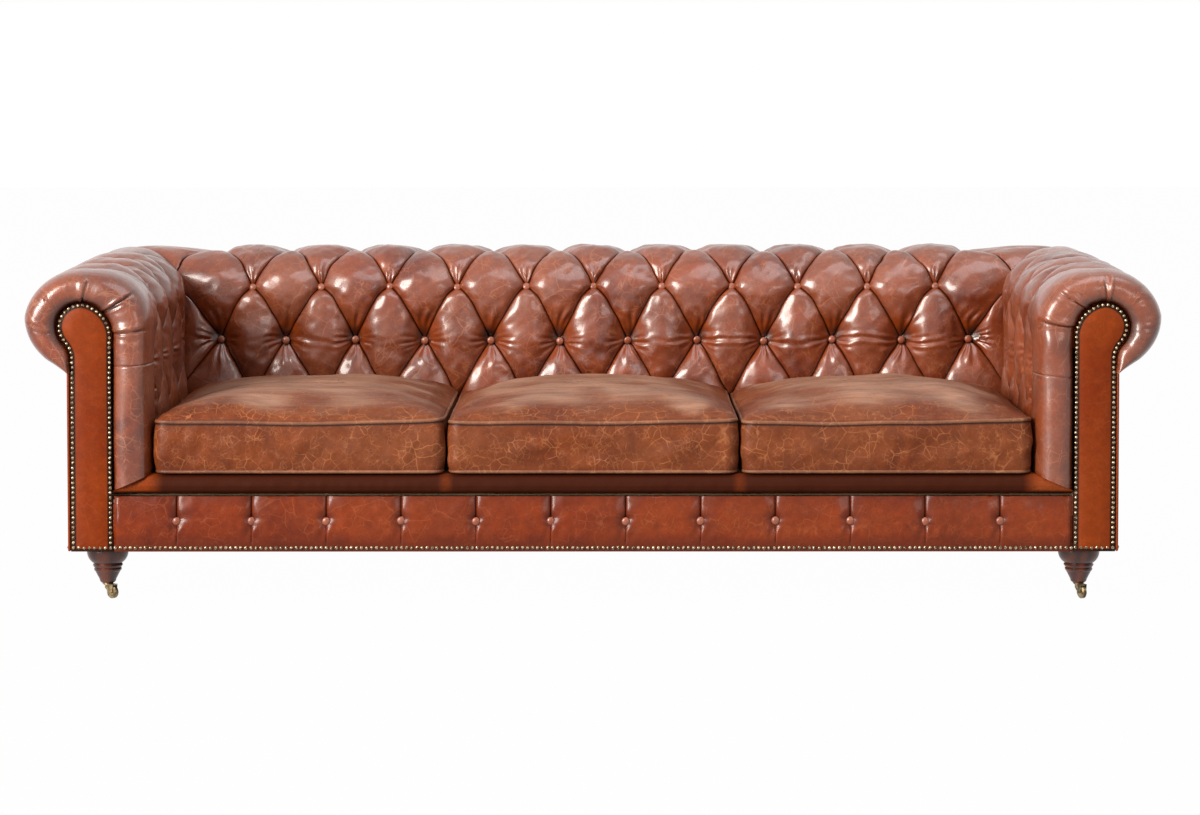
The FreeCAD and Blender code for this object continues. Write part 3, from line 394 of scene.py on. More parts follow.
def creases(across, s, aside, seed):
    """Small folds drawn towards the buttons: inward depth, in metres."""
    low_out = np.hypot(aside, s - LOW_ROW)
    low_turn = np.arctan2(s - LOW_ROW, aside)
    uneven = ripple(across, s, 0.05, seed + 1)
    column = ripple(across, 0 * s, 0.34, seed + 2)
    # Folds that run into a low button from its two sides
    beside = np.exp(-((np.abs(np.sin(low_turn)) / 0.62) ** 2.5))
    rays = np.cos(15 * low_turn + 2.2 * uneven + 7 * column)
    around = 0.0032 * rays * beside * np.exp(-(((low_out - 0.028) / 0.018) ** 2))
    # Long folds stretched from one low button to the next
    level = (s - LOW_ROW) / 0.0058 + 1.8 * ripple(across, 0 * s, 0.10, seed + 3)
    tight = np.clip(0.35 + 1.1 * ripple(across, 0 * s, 0.30, seed + 4), 0, 1)
    stretch = 0.0024 * np.cos(level * 1.9 + 1.1 * uneven) * np.exp(-((level / 2.6) ** 2)) * tight
    # Folds that fan up from a middle button
    side = np.abs(aside) - HALF_PITCH
    mid_out = np.hypot(side, s - MIDDLE_ROW)
    mid_turn = np.arctan2(side, s - MIDDLE_ROW) + 0.14 * uneven
    fan_up = np.cos(15 * mid_turn + 3 * column) * np.exp(-((mid_turn / 0.40) ** 2))
    fan_up = fan_up * np.exp(-(((mid_out - 0.034) / 0.024) ** 2))
    # Folds in the pad above a low button, and in the pad below it
    upright = np.arctan2(aside, s - LOW_ROW) + 0.12 * uneven
    fan_high = np.cos(16 * upright + 4 * column) * np.exp(-((upright / 0.50) ** 2))
    fan_high = fan_high * np.exp(-(((low_out - 0.056) / 0.020) ** 2)) * (s > LOW_ROW)
    downward = np.arctan2(aside, LOW_ROW - s) + 0.12 * uneven
    fan_low = np.cos(14 * downward + 5 * column) * np.exp(-((downward / 0.60) ** 2))
    fan_low = fan_low * np.exp(-(((low_out - 0.036) / 0.026) ** 2)) * (s < LOW_ROW)
    near_button = np.minimum(low_out, mid_out)
    calm = 1 - np.exp(-((near_button / 0.011) ** 2))
    slack = 0.0016 * ripple(across, s, 0.045, seed + 5) + 0.0007 * ripple(across, s, 0.017, seed + 6)
    folds = around + stretch + 0.0025 * fan_up + 0.0030 * fan_high + 0.0021 * fan_low
    return folds * calm + slack


def sway(across, s, seed):
    """How far the whole pattern strays along the hide and up it, as a hand-worked one does."""
    along_hide = 0.0030 * ripple(across, s, 0.10, seed + 7) + 0.0007 * ripple(across, s, 0.03, seed + 8)
    up_hide = 0.0024 * ripple(across, s, 0.12, seed + 9)
    return along_hide, up_hide


def between(edges, steps):
    """Columns between each two neighbouring edges, closer together near an edge.
    edges is an array of (rows, edges)."""
    turn = np.arange(steps) / steps
    share = 0.22 * turn + 0.78 * (1 - np.cos(math.pi * turn)) / 2
    columns = []
    for k in range(edges.shape[1] - 1):
        here, following = edges[:, k : k + 1], edges[:, k + 1 : k + 2]
        columns.append(here + (following - here) * share)
    columns.append(edges[:, -1:])
    return np.concatenate(columns, axis=1)


# The hide is seen between these runs, and the mesh's rows are this far apart there
SEEN_FROM, SEEN_TO, ROW_STEP = 0.150, 0.590, 0.0036


def row_runs():
    """Runs of the mesh's rows: wider apart where the hide is hidden or seldom seen."""
    low = np.linspace(0, SEEN_FROM, 16, endpoint=False)
    seen = np.linspace(SEEN_FROM, SEEN_TO, round((SEEN_TO - SEEN_FROM) / ROW_STEP), endpoint=False)
    rear = np.linspace(SEEN_TO, WHOLE_RUN, round((WHOLE_RUN - SEEN_TO) / (ROW_STEP * 1.6)))
    runs = np.concatenate([low, seen, rear])
    for row in (HIDDEN_ROW, LOW_ROW, MIDDLE_ROW, TOP_ROW):
        runs[np.argmin(np.abs(runs - row))] = row
    return runs


def mitre_height(reach):
    return DECK - reach * (DECK - LIP_CORNER) / FRAME_NEAR


def foam_side(count):
    """The inner side of a buttoned hide, from the outside panel round to the deck."""
    line = [
        (PANEL_REACH, CREST - ROLL_HEIGHT), (FRAME_FAR, 0.500), (0.229, 0.552), (0.243, 0.600),
        (0.206, 0.668), (0.146, 0.690), (0.044, 0.598), (0.044, mitre_height(0.044)), (0, DECK),
    ]
    return evenly(np.array(line), count).T


def made_hide(name, points, painted_shade, pleat, across, up, hidden=1.0):
    """A finished hide. The first rows of its points are its outer side, and the tables have a number for
    each of those. On the rest, its inner side, the painted shade takes the value hidden and the others are 0."""
    piece, row, column = sheet_of(name, points)
    inner_rows = len(points) - len(painted_shade)

    def at_points(table, fill=0.0):
        inner = np.full((inner_rows, table.shape[1]), fill)
        return np.concatenate([table, inner], axis=0)[row, column]

    give_values(piece, "painted_shade", at_points(painted_shade, hidden))
    give_values(piece, "pleat", at_points(pleat))
    give_map(piece, at_points(across), at_points(up))
    tidy(piece)
    smooth(piece, 70)
    return piece


BACK_SEED, ARM_SEEDS, ARM_STARTS = 11, {-1: 40, 1: 60}, {-1: 3.1, 1: 7.7}


def back_hide():
    s = row_runs()
    offset = mesh_offset(s)
    lows = [-(INNER_HALF - FIRST_COLUMN) + PITCH * i for i in range(12)]
    edges = [np.full_like(s, -INNER_HALF)]
    for x in lows:
        edges += [x - offset, x + offset]
    edges.append(np.full_like(s, INNER_HALF))
    edges = np.clip(np.stack(edges, axis=1), -INNER_HALF, INNER_HALF)
    x = between(edges, 22)
    runs = np.broadcast_to(s[:, None], x.shape)
    off = INNER_HALF - np.abs(x)
    calm = edge_calm(off, runs)
    depth, pleat, aside, painted_dip_shade = hollows(off, x, runs, BACK_SEED)
    depth = depth + creases(x, runs, aside * np.sign(-x - 1e-9), BACK_SEED + 10) * calm
    stray, climb = sway(x, runs, BACK_SEED)
    u, z = on_profile(runs + climb * calm, np.maximum(depth, -PROUD))
    outer = on_back(x + stray * calm, u, z)
    inner_rows = 10
    iu, iz = foam_side(inner_rows)
    inner = on_back(np.broadcast_to(x[-1], (inner_rows, x.shape[1])), iu[:, None], iz[:, None])
    points = np.concatenate([outer, inner, outer[:1]], axis=0)
    return made_hide("back_hide", points, painted_dip_shade, pleat, x, runs)


def edge_calm(off, s):
    """Keeps the small folds away from the mitre and from the hide's lower edges."""
    near = 1 - np.exp(-((off / 0.016) ** 2))
    ends = ease(s, 0, 0.05) * (1 - ease(s, WHOLE_RUN - 0.06, WHOLE_RUN))
    return near * ends


def keyhole(grow, top_only=True):
    """The scroll outline of an arm front in (u, z), from beside the seat lip up and over, set out by grow."""
    near, far = FRAME_NEAR, FRAME_FAR - 0.003
    line = [(near, mitre_height(near) if top_only else BODY_BOTTOM), (near, 0.565)]
    line += arc_points(line[-1], (0.102, 0.623), (0.145, 0.647), 24)
    line += arc_points(line[-1], (0.182, 0.633), (0.198, 0.602), 24)
    line += arc_points(line[-1], (0.195, 0.580), (0.185, 0.562), 10)
    line += arc_points(line[-1], (0.175, 0.547), (far, 0.528), 10)
    line.append((far, 0.497 if top_only else BODY_BOTTOM))
    line = np.array(line)
    ways = np.gradient(line, axis=0)
    ways[0] = ways[-1] = (0, 0)
    ways /= np.maximum(np.linalg.norm(ways, axis=1), 1e-9)[:, None]
    moved = line + grow * np.column_stack([-ways[:, 1], ways[:, 0]])
    moved[0, 0], moved[-1, 0] = near - grow, far + grow
    if top_only:
        moved[0, 1] = mitre_height(near - grow)
    return moved


def along(line, shares):
    """Points at the given shares of a line's length."""
    runs = runs_along(line)
    runs /= runs[-1]
    return np.interp(shares, runs, line[:, 0]), np.interp(shares, runs, line[:, 1])


def facing_shares(s):
    """The share of the facing's outline that each run of the roll is drawn in to."""
    line = keyhole(0)
    runs = runs_along(line)
    runs /= runs[-1]

    def share_at(u, z):
        return runs[np.argmin(np.hypot(line[:, 0] - u, line[:, 1] - z))]

    marks = [0, 0.286, 0.400, 0.532, 0.640, 0.732, 0.851, WHOLE_RUN]
    targets = [
        0, share_at(0.084, 0.565), share_at(0.102, 0.623), share_at(0.145, 0.647), share_at(0.182, 0.633),
        share_at(0.198, 0.602), share_at(0.175, 0.547), 1,
    ]
    return np.interp(s, marks, targets)


def scroll_turn(s):
    """The direction of each run of the roll about the scroll's centre, 0 towards the seat, in degrees."""
    u, z = on_profile(s, 0 * s)
    return np.degrees(np.unwrap(np.arctan2(z - SCROLL_CENTRE[1], SCROLL_CENTRE[0] - u)))


# The run at which a seam crosses the hide in front of the last buttons, and the seam's size
SCROLL_SEAM = {-1: 0.238, 1: 0.215}
SEAM_WIDTH, SEAM_DEPTH = 0.0016, 0.0022

# Where the hide is pleated in round the scroll, in degrees from the seat's side, and how deep
SCROLL_PLEATS = {4: 0.0062, 40: 0.0058, 86: 0.0056, 200: 0.0048, 227: 0.0044}


def scroll_folds(s, inward, side):
    """Pleats and puckers of the hide where it is drawn in round the facing."""
    turn = scroll_turn(s)
    folds = np.zeros(np.broadcast(s, inward).shape)
    mark = np.zeros_like(folds)
    window = ease(inward, 0.02, 0.22)
    stray = 2.0 * ripple(inward * 0.10, turn / 90, 0.06, 31 + side)
    for angle, depth in SCROLL_PLEATS.items():
        gap = (turn - angle - 4 * side - stray) * math.pi / 180 * 0.115
        folds += depth * np.exp(-np.abs(gap) / 0.0024) * window
        # The hide bulges on one side of its fold and lies lower on the other
        folds -= 0.0030 * np.exp(-(((gap - 0.011) / 0.009) ** 2)) * window
        folds += 0.0018 * np.exp(-(((gap + 0.012) / 0.010) ** 2)) * window
        # mark is the shade painted into each pleat
        mark = np.maximum(mark, np.exp(-np.abs(gap) / 0.0018) * window)
    wander = ripple(turn / 60, inward * 0.4, 0.35, 5 + side)
    puckers = np.cos(turn * (1.05 + 0.10 * side) + 6.0 * wander)
    puckers = puckers * np.clip(0.55 + 0.8 * ripple(turn / 40, inward * 0.3, 0.4, 6), 0, 1.3)
    where = ease(turn, 98, 122) * (1 - ease(turn, 168, 192))
    folds += 0.0017 * puckers * where * ease(inward, 0.02, 0.12) * (1 - ease(inward, 0.35, 0.75))
    folds += 0.0014 * ripple(turn / 60, inward * 0.5, 0.28, 8 + side) * ease(inward, 0.1, 0.4)
    return folds, mark


# From the plain end of an arm round to its facing: share of the way in, and Y
SCROLL_TURN = [
    (0.0, -0.400), (0.010, -0.428), (0.05, -0.452), (0.13, -0.470), (0.26, -0.4815), (0.42, -0.4862),
    (0.58, -0.4868), (0.72, -0.4845), (0.84, -0.4790), (0.93, -0.4715), (1.0, -0.4620),
]
# The whole way in is about this long
WAY_IN = 0.085


def rounded_path(knots, count):
    """A soft line through pairs of numbers, as count evenly spread pairs."""
    knots = np.array(knots)
    steps = np.arange(len(knots))
    fine = np.linspace(0, len(knots) - 1, 400)
    line = np.stack([np.interp(fine, steps, knots[:, k]) for k in (0, 1)], axis=1)
    soft = np.stack([softened(line[:, k], 20, turned_over=True) for k in (0, 1)], axis=1)
    runs = np.concatenate([[0], np.cumsum(np.hypot(np.diff(soft[:, 0]) * WAY_IN, np.diff(soft[:, 1])))])
    even = np.linspace(0, runs[-1], count)
    return np.stack([np.interp(even, runs, soft[:, k]) for k in (0, 1)], axis=1)


def arm_hide(name, side):
    beside_seam = SCROLL_SEAM[side] + np.array([-0.0030, -0.0014, 0, 0.0014, 0.0030])
    s = np.sort(np.concatenate([row_runs(), beside_seam]))
    offset = mesh_offset(s)
    edges = [np.zeros_like(s)]
    for i in range(ARM_COLUMNS):
        off = FIRST_COLUMN + PITCH * i
        edges.append(off - offset)
        if i < ARM_COLUMNS - 1:
            edges.append(off + offset)
    front_run = BACK_FACE - SCROLL_TURN[0][1]
    edges.append(np.full_like(s, front_run))
    edges = np.clip(np.stack(edges, axis=1), 0, front_run)
    off = between(edges, 20)
    runs = np.broadcast_to(s[:, None], off.shape)
    seed, across = ARM_SEEDS[side], off + ARM_STARTS[side]
    calm = edge_calm(off, runs) * (1 - ease(off, LAST_COLUMN + 0.015, LAST_COLUMN + 0.050))
    depth, pleat, aside, painted_dip_shade = hollows(off, across, runs, seed, last=LAST_COLUMN)
    depth = depth + creases(across, runs, aside, seed) * calm
    seam = np.exp(-(((runs - SCROLL_SEAM[side]) / SEAM_WIDTH) ** 2))
    seam = seam * ease(off, LAST_COLUMN - 0.01, LAST_COLUMN + 0.01)
    depth = depth + SEAM_DEPTH * seam
    stray, climb = sway(across, runs, seed)
    u, z = on_profile(runs + climb * calm, np.maximum(depth, -PROUD))
    outer = on_arm(side, off + stray * calm, u, z)

    # Round the front to the facing
    turn = rounded_path(SCROLL_TURN, 26)[1:]
    shares = facing_shares(s)
    ku, kz = along(keyhole(0.0005), shares)
    pu, pz = on_profile(s, 0 * s)
    inward = turn[:, 0][None, :]
    folds, mark = scroll_folds(s[:, None], inward, side)
    cu = pu[:, None] + (ku - pu)[:, None] * inward
    cz = pz[:, None] + (kz - pz)[:, None] * inward
    seam_front = np.exp(-(((s[:, None] - SCROLL_SEAM[side]) / SEAM_WIDTH) ** 2)) * (1 - ease(inward, 0.97, 1))
    lean = ease(inward, 0.0, 0.3)
    slack = 0.0008 * ripple(s[:, None], inward * 0.08, 0.05, seed + 9) * ease(inward, 0, 0.2)
    push = folds + SEAM_DEPTH * seam_front + slack
    out_u = np.interp(s, RUNS, PROFILE_OUT[:, 0])[:, None]
    out_z = np.interp(s, RUNS, PROFILE_OUT[:, 1])[:, None]
    cu = cu - out_u * push * (1 - lean)
    cz = cz - out_z * push * (1 - lean)
    station = np.broadcast_to(-turn[:, 1][None, :], cu.shape)
    cy = -(station - push * lean)
    run = (BACK_FACE + station) / (BACK_FACE + FACING_PLANE)
    cz = cz - np.maximum(cz - CREST + ROLL_HEIGHT, 0) * ARM_FALL * run * (1 - inward ** 3)
    closure = np.stack([side * (INNER_HALF + cu), cy, cz], axis=-1)
    outer = np.concatenate([outer, closure], axis=1)

    # The inner side: firm foam at the back, the facing's outline at the front
    inner_rows = 34
    iu, iz = foam_side(inner_rows)
    low_off = np.minimum(off[-1], front_run)
    inner = on_arm(side, np.broadcast_to(low_off, (inner_rows, off.shape[1])), iu[:, None], iz[:, None])
    gu, gz = along(keyhole(0.0025), np.linspace(1, 0, inner_rows))
    depths = np.minimum(turn[:, 1] + 0.012, -0.420)
    depths[-1] = -0.4605
    front = np.stack([
        np.broadcast_to(side * (INNER_HALF + gu)[:, None], (inner_rows, len(turn))),
        np.broadcast_to(depths[None, :], (inner_rows, len(turn))),
        np.broadcast_to(gz[:, None], (inner_rows, len(turn))),
    ], axis=-1)
    inner = np.concatenate([inner, front], axis=1)
    points = np.concatenate([outer, inner, outer[:1]], axis=0)

    # Painted shade where the hide is tucked in round the facing, most of all round its head
    turned = scroll_turn(s)[:, None]
    over_head = ease(turned, 20, 60) * (1 - ease(turned, 150, 190))
    tucked = ease(inward, 0.80, 1.0) * (0.55 + 0.45 * over_head)
    painted_shade = np.concatenate([painted_dip_shade, np.broadcast_to(tucked, cu.shape) * 0.8], axis=1)
    round_head = ease(turned, 5, 60) * (1 - ease(turned, 190, 225))
    # Painted shade in the recess round the facing, deepest round its head; pleat also paints shade along the
    # seam and into the scroll's pleats
    recess = 0.42 + 0.45 * ease(inward, 0.84 - 0.24 * round_head, 1.0) * (0.45 + 0.55 * round_head)
    mark = np.maximum(mark * 0.85, np.maximum(0.60 * seam_front, recess))
    pleat = np.concatenate([np.maximum(pleat, 0.60 * seam), mark + 0 * cu], axis=1)
    spread = np.concatenate([off, front_run + np.broadcast_to(inward * 0.11, cu.shape)], axis=1)
    lengths = np.broadcast_to(s[:, None], spread.shape)
    return made_hide(name, points, painted_shade, pleat, spread, lengths)


# Covered buttons


def button_pattern():
    """A covered button: a low dome with a drawn-in rim."""
    deselect()
    bpy.ops.mesh.primitive_uv_sphere_add(segments=20, ring_count=12, radius=0.0092)
    piece = added("button_pattern")
    for point in piece.data.vertices:
        height = point.co.z / 0.0092
        flat = 0.50 if height > 0 else 0.75
        point.co.z *= flat
        if -0.5 < height < 0.05:
            point.co.x *= 0.97
            point.co.y *= 0.97
    smooth(piece, 80)
    return piece


def button_spot(put, s, depth, chance):
    """A button's place on the hide that put maps, a little unevenly set."""
    u, z = on_profile(np.array([s]), np.array([depth]))
    u2, z2 = on_profile(np.array([s]), np.array([depth - 0.01]))
    here, tip = put(u, z)[0], put(u2, z2)[0]
    out = Vector(tip - here).normalized()
    tilt = Vector(chance.uniform(-0.18, 0.18, 3))
    return standing(here, out + tilt, chance.uniform(0, 6))


def back_spots(chance):
    spots = []
    for i in range(12):
        for s, depth in BUTTON_DEPTHS.items():
            x = -(INNER_HALF - FIRST_COLUMN) + PITCH * i + (HALF_PITCH if s == MIDDLE_ROW else 0)
            if x < INNER_HALF - FIRST_COLUMN + 0.01:
                stray, climb = sway(np.array([x]), np.array([s]), BACK_SEED)
                spots.append(button_spot(lambda u, z: on_back(x + stray, u, z), s + climb[0], depth, chance))
    return spots


def arm_spots(side, chance):
    spots = []
    for i in range(ARM_COLUMNS):
        for s, depth in BUTTON_DEPTHS.items():
            off = FIRST_COLUMN + PITCH * i + (HALF_PITCH if s == MIDDLE_ROW else 0)
            if off < LAST_COLUMN + 0.01:
                stray, climb = sway(np.array([off + ARM_STARTS[side]]), np.array([s]), ARM_SEEDS[side])
                here = off + stray
                spots.append(button_spot(lambda u, z: on_arm(side, here, u, z), s + climb[0], depth, chance))
    return spots


# How deep the middle of each row's buttons lies below the line of the roll
BUTTON_DEPTHS = {LOW_ROW: 0.0310, MIDDLE_ROW: 0.0255, TOP_ROW: 0.0250}


def buttons():
    pattern = button_pattern()
    chance = np.random.default_rng(3)
    back = copies("back_button_set", pattern, back_spots(chance))
    dress(back, "sofa", "leather_button", button_leather, "back_buttons")
    arms = copies("arm_button_set", pattern, arm_spots(-1, chance) + arm_spots(1, chance))
    dress(arms, "sofa", "leather_button", button_leather, "arm_buttons")
    spots = []
    for x in border_columns():
        z = BORDER_MIDDLE + chance.uniform(-0.0012, 0.0012)
        spots.append(standing((x, BORDER_BUTTON_Y, z), (0, -1, 0.05)))
    border = copies("border_button_set", pattern, spots)
    dress(border, "sofa", "leather_button", button_leather, "border_buttons")
    drop(pattern)


# Front border and seat lip

BORDER_LOW, BORDER_TOP, BORDER_MIDDLE = 0.112, 0.231, 0.178
BORDER_HALF = INNER_HALF + FRAME_NEAR - 0.0025
BORDER_SHIFT = -0.010
BORDER_BUTTON_Y, BORDER_NAIL_Y, FACING_NAIL_Y = -0.4708, -0.4732, -0.4712


def border_columns():
    return [BORDER_SHIFT + PITCH * (i - 5.5) for i in range(12)]


def border_pad():
    """The padded strip below the seat, drawn in to a button and an upright pleat at each column."""
    columns = [-BORDER_HALF, *border_columns(), BORDER_HALF]
    edges = np.array([columns] * 2)
    x = between(edges, 26)[0]
    z = np.linspace(BORDER_LOW, BORDER_TOP, 34)
    x, z = np.meshgrid(x, z)
    nearest = np.array(border_columns())[np.abs(x[..., None] - np.array(border_columns())).argmin(-1)]
    aside = x - nearest
    gap = np.abs(aside)
    height = (z - BORDER_LOW) / (BORDER_TOP - BORDER_LOW)
    plump = np.sin(math.pi * np.clip(height * 0.86 + 0.10, 0, 1)) ** 0.5
    above = ease(z, BORDER_MIDDLE - 0.004, BORDER_MIDDLE + 0.008)
    below = ease(BORDER_MIDDLE - z, 0.0, 0.012) * (1 - ease(BORDER_MIDDLE - z, 0.030, 0.060))
    valley = np.exp(-((gap / 0.013) ** 1.1))
    button = np.hypot(aside, z - BORDER_MIDDLE)
    seat = np.exp(-((button / 0.015) ** 1.6))
    drawn = 0.0060 * valley * above + 0.0026 * valley * below + 0.0070 * seat
    low_pleat = 0.75 * ease(BORDER_MIDDLE - z, 0.004, 0.010) * (1 - ease(BORDER_MIDDLE - z, 0.040, 0.064))
    drawn += 0.0026 * np.exp(-gap / 0.0012) * np.maximum(above, low_pleat)
    down = BORDER_MIDDLE - z
    rays = np.cos((aside + 0.35 * down) / 0.0042) * np.exp(-(((button - 0.026) / 0.016) ** 2))
    rays = rays * ease(down, 0.004, 0.018)
    drawn += 0.0013 * rays
    slack = 0.0014 * ripple(x, z * 1.6, 0.07, 91) + 0.0006 * ripple(x * 1.4, z, 0.022, 92)
    # The nails hold the lower edge flat
    drawn += slack * ease(z, BORDER_LOW + 0.014, BORDER_LOW + 0.036)
    ends = ease(BORDER_HALF - np.abs(x), 0, 0.010)
    y = -FACING_PLANE + 0.006 - 0.0135 * plump * (0.35 + 0.65 * ends) + drawn
    front = np.stack([x, y, z], axis=-1)
    rear_y = -FACING_PLANE + 0.040
    rear = np.stack([x[:1], np.full_like(x[:1], rear_y), np.full_like(x[:1], BORDER_TOP - 0.002)], axis=-1)
    base = np.stack([x[:1], np.full_like(x[:1], rear_y), np.full_like(x[:1], BORDER_LOW)], axis=-1)
    points = np.concatenate([front, rear, base, front[:1]], axis=0)
    # Painted shade round the buttons, in the valleys above them, where the pad tucks in at its top and bottom
    # and over its lower half
    painted_shade = seat * 0.8 + valley * above * 0.25 + 0.6 * (1 - plump) + 0.35 * ease(-height, -0.45, -0.1)
    # Painted shade along the upright pleats above and below each button
    high_pleat = above * ease(z, BORDER_MIDDLE, BORDER_MIDDLE + 0.01)
    pleat = np.exp(-gap / 0.0011) * np.maximum(high_pleat, low_pleat)
    return made_hide("border_pad", points, np.clip(painted_shade, 0, 1), pleat, x, z, hidden=0.6)


def lip_pad():
    """The rolled edge in front of the cushions, mitred into the arm fronts."""
    back = -FACING_PLANE + 0.040
    front = -FACING_PLANE
    knots = [
        (back, 0.2355), (front + 0.020, 0.2355), (front + 0.006, 0.2375), (front - 0.002, 0.2440),
        (front - 0.005, 0.2540), (front - 0.003, 0.2640), (front + 0.004, 0.2725), (front + 0.016, 0.2775),
        (front + 0.030, DECK), (back, DECK),
    ]
    knots = np.array(knots)
    fine = np.linspace(0, len(knots) - 1, 36)
    y = np.interp(fine, np.arange(len(knots)), knots[:, 0])
    z = np.interp(fine, np.arange(len(knots)), knots[:, 1])
    steps = np.linspace(-1, 1, 421)
    # The ends follow the slope of the arm fronts
    reach = (DECK - z) * FRAME_NEAR / (DECK - LIP_CORNER)
    half = INNER_HALF + np.clip(reach, 0, FRAME_NEAR + 0.012) - 0.001
    x = steps[None, :] * np.minimum(half, BORDER_HALF)[:, None]
    y, z = np.broadcast_to(y[:, None], x.shape), np.broadcast_to(z[:, None], x.shape)
    soft = ease(BORDER_HALF - np.abs(x), 0, 0.05) * ease(-y, 0.455, 0.470)
    y = y + soft * (0.0010 * ripple(x, z * 2, 0.08, 71) + 0.0004 * ripple(x * 1.5, z, 0.02, 72))
    points = np.stack([x, y, z], axis=-1)
    points = np.concatenate([points, points[:1]], axis=0)
    # Painted shade from the cushions on all but its ends and a little between them, and on its underside
    gap_between = np.abs(np.abs(x) - CUSHION_PITCH / 2)
    lit = np.maximum(0.4 * np.exp(-((gap_between / 0.016) ** 2)), ease(np.abs(x), 0.910, 0.972))
    painted_shade = np.maximum(ease(0.246 - z, 0, 0.008) * 0.9, 0.92 * (1 - lit))
    return made_hide("lip_pad", points, painted_shade, 0 * x, x, z, hidden=0.9)


# Facings, outside panels and nails


def facing_pad(name, side):
    """The keyhole-shaped scroll front: a board covered in smooth hide over thin padding."""
    levels = [
        (0.0000, -0.4620), (0.0018, -0.4675), (0.0000, -0.4702), (-0.0085, -0.4712), (-0.0120, -0.4730),
        (-0.0340, -0.4745),
    ]
    rings = []
    count = 300
    shares = np.linspace(0, 1, count)
    for grow, y in levels:
        line = keyhole(grow + 0.0005, top_only=False)
        u, z = along(line, shares)
        if grow < 0:
            z = np.maximum(z, BODY_BOTTOM - grow * 0.6)
        z = np.maximum(z, BODY_BOTTOM)
        rings.append(np.stack([side * (INNER_HALF + u), np.full(count, y), z], axis=-1))
    # The face closes on an upright line, which leans outwards in the head
    last_z = rings[-1][:, 2]
    middle_x = side * (INNER_HALF + 0.1275 + 0.018 * ease(last_z, 0.56, 0.60))
    core = np.stack([middle_x, np.full(count, -0.4742), np.clip(last_z, 0.16, 0.60)], axis=-1)
    points = np.stack([*rings, core], axis=0)
    points = np.concatenate([points, points[:, :1]], axis=1)
    piece, row, column = sheet_of(name, points)
    # Painted shade in a band round the facing's edge, where the nails sit
    shade = np.array([1.0, 1.0, 1.0, 0.95, 0.0, 0.0, 0.0])
    give_values(piece, "painted_shade", shade[row])
    give_map(piece, points[row, column, 0], points[row, column, 2])
    tidy(piece, gap=0.0004)
    smooth(piece, 60)
    return piece


PANEL_SOFTNESS = 0.0028


def panel(name, low, high):
    """An outside panel: hide over a board, its edges rounded."""
    deselect()
    bpy.ops.mesh.primitive_cube_add(size=1)
    piece = added(name)
    low, high = Vector(low), Vector(high)
    piece.data.transform(Matrix.Translation((low + high) / 2) @ Matrix.Diagonal([*(high - low), 1]))
    only(piece)
    bpy.ops.object.mode_set(mode="EDIT")
    bpy.ops.mesh.select_all(action="SELECT")
    bpy.ops.mesh.bevel(offset=PANEL_SOFTNESS, segments=3)
    bpy.ops.object.mode_set(mode="OBJECT")
    smooth(piece, 40)
    return piece


def outside_panels():
    top, rear = CREST - ROLL_HEIGHT - 0.0004, BACK_FACE + PANEL_REACH
    for name, side in SIDES.items():
        near, far = side * (INNER_HALF + FRAME_FAR + 0.0002), side * (INNER_HALF + PANEL_REACH)
        low = (min(near, far), -FACING_PLANE + 0.0005, BODY_BOTTOM)
        high = (max(near, far), rear, top)
        piece = panel(f"outside_arm_panel_{name}", low, high)
        dress(piece, "sofa", "leather_smooth", plain_leather, f"outside_arm_{name}")
    half = INNER_HALF + FRAME_FAR
    low, high = (-half, BACK_FACE + FRAME_FAR, BODY_BOTTOM), (half, rear, top)
    piece = panel("outside_back_panel", low, high)
    dress(piece, "sofa", "leather_smooth", plain_leather, "outside_back")


def nail_pattern():
    """A domed upholstery nail with a thin rim, of few faces."""
    deselect()
    bpy.ops.mesh.primitive_circle_add(vertices=8, radius=0.0041, fill_type="NGON")
    piece = added("nail_pattern")
    only(piece)
    bpy.ops.object.mode_set(mode="EDIT")
    bpy.ops.mesh.select_all(action="SELECT")
    for height, shrink in ((0.0012, 0.93), (0.0012, 0.72), (0.0007, 0.45)):
        bpy.ops.mesh.extrude_region_move(TRANSFORM_OT_translate={"value": (0, 0, height)})
        bpy.ops.transform.resize(value=(shrink, shrink, 1), center_override=(0, 0, 0))
    bpy.ops.object.mode_set(mode="OBJECT")
    tidy(piece)
    smooth(piece, 80)
    return piece


NAIL_SPACING = 0.0108


def nail_spots(line):
    """The places of the nails along a line of points."""
    line = np.array(line)
    return evenly(line, round(runs_along(line)[-1] / NAIL_SPACING) + 1)


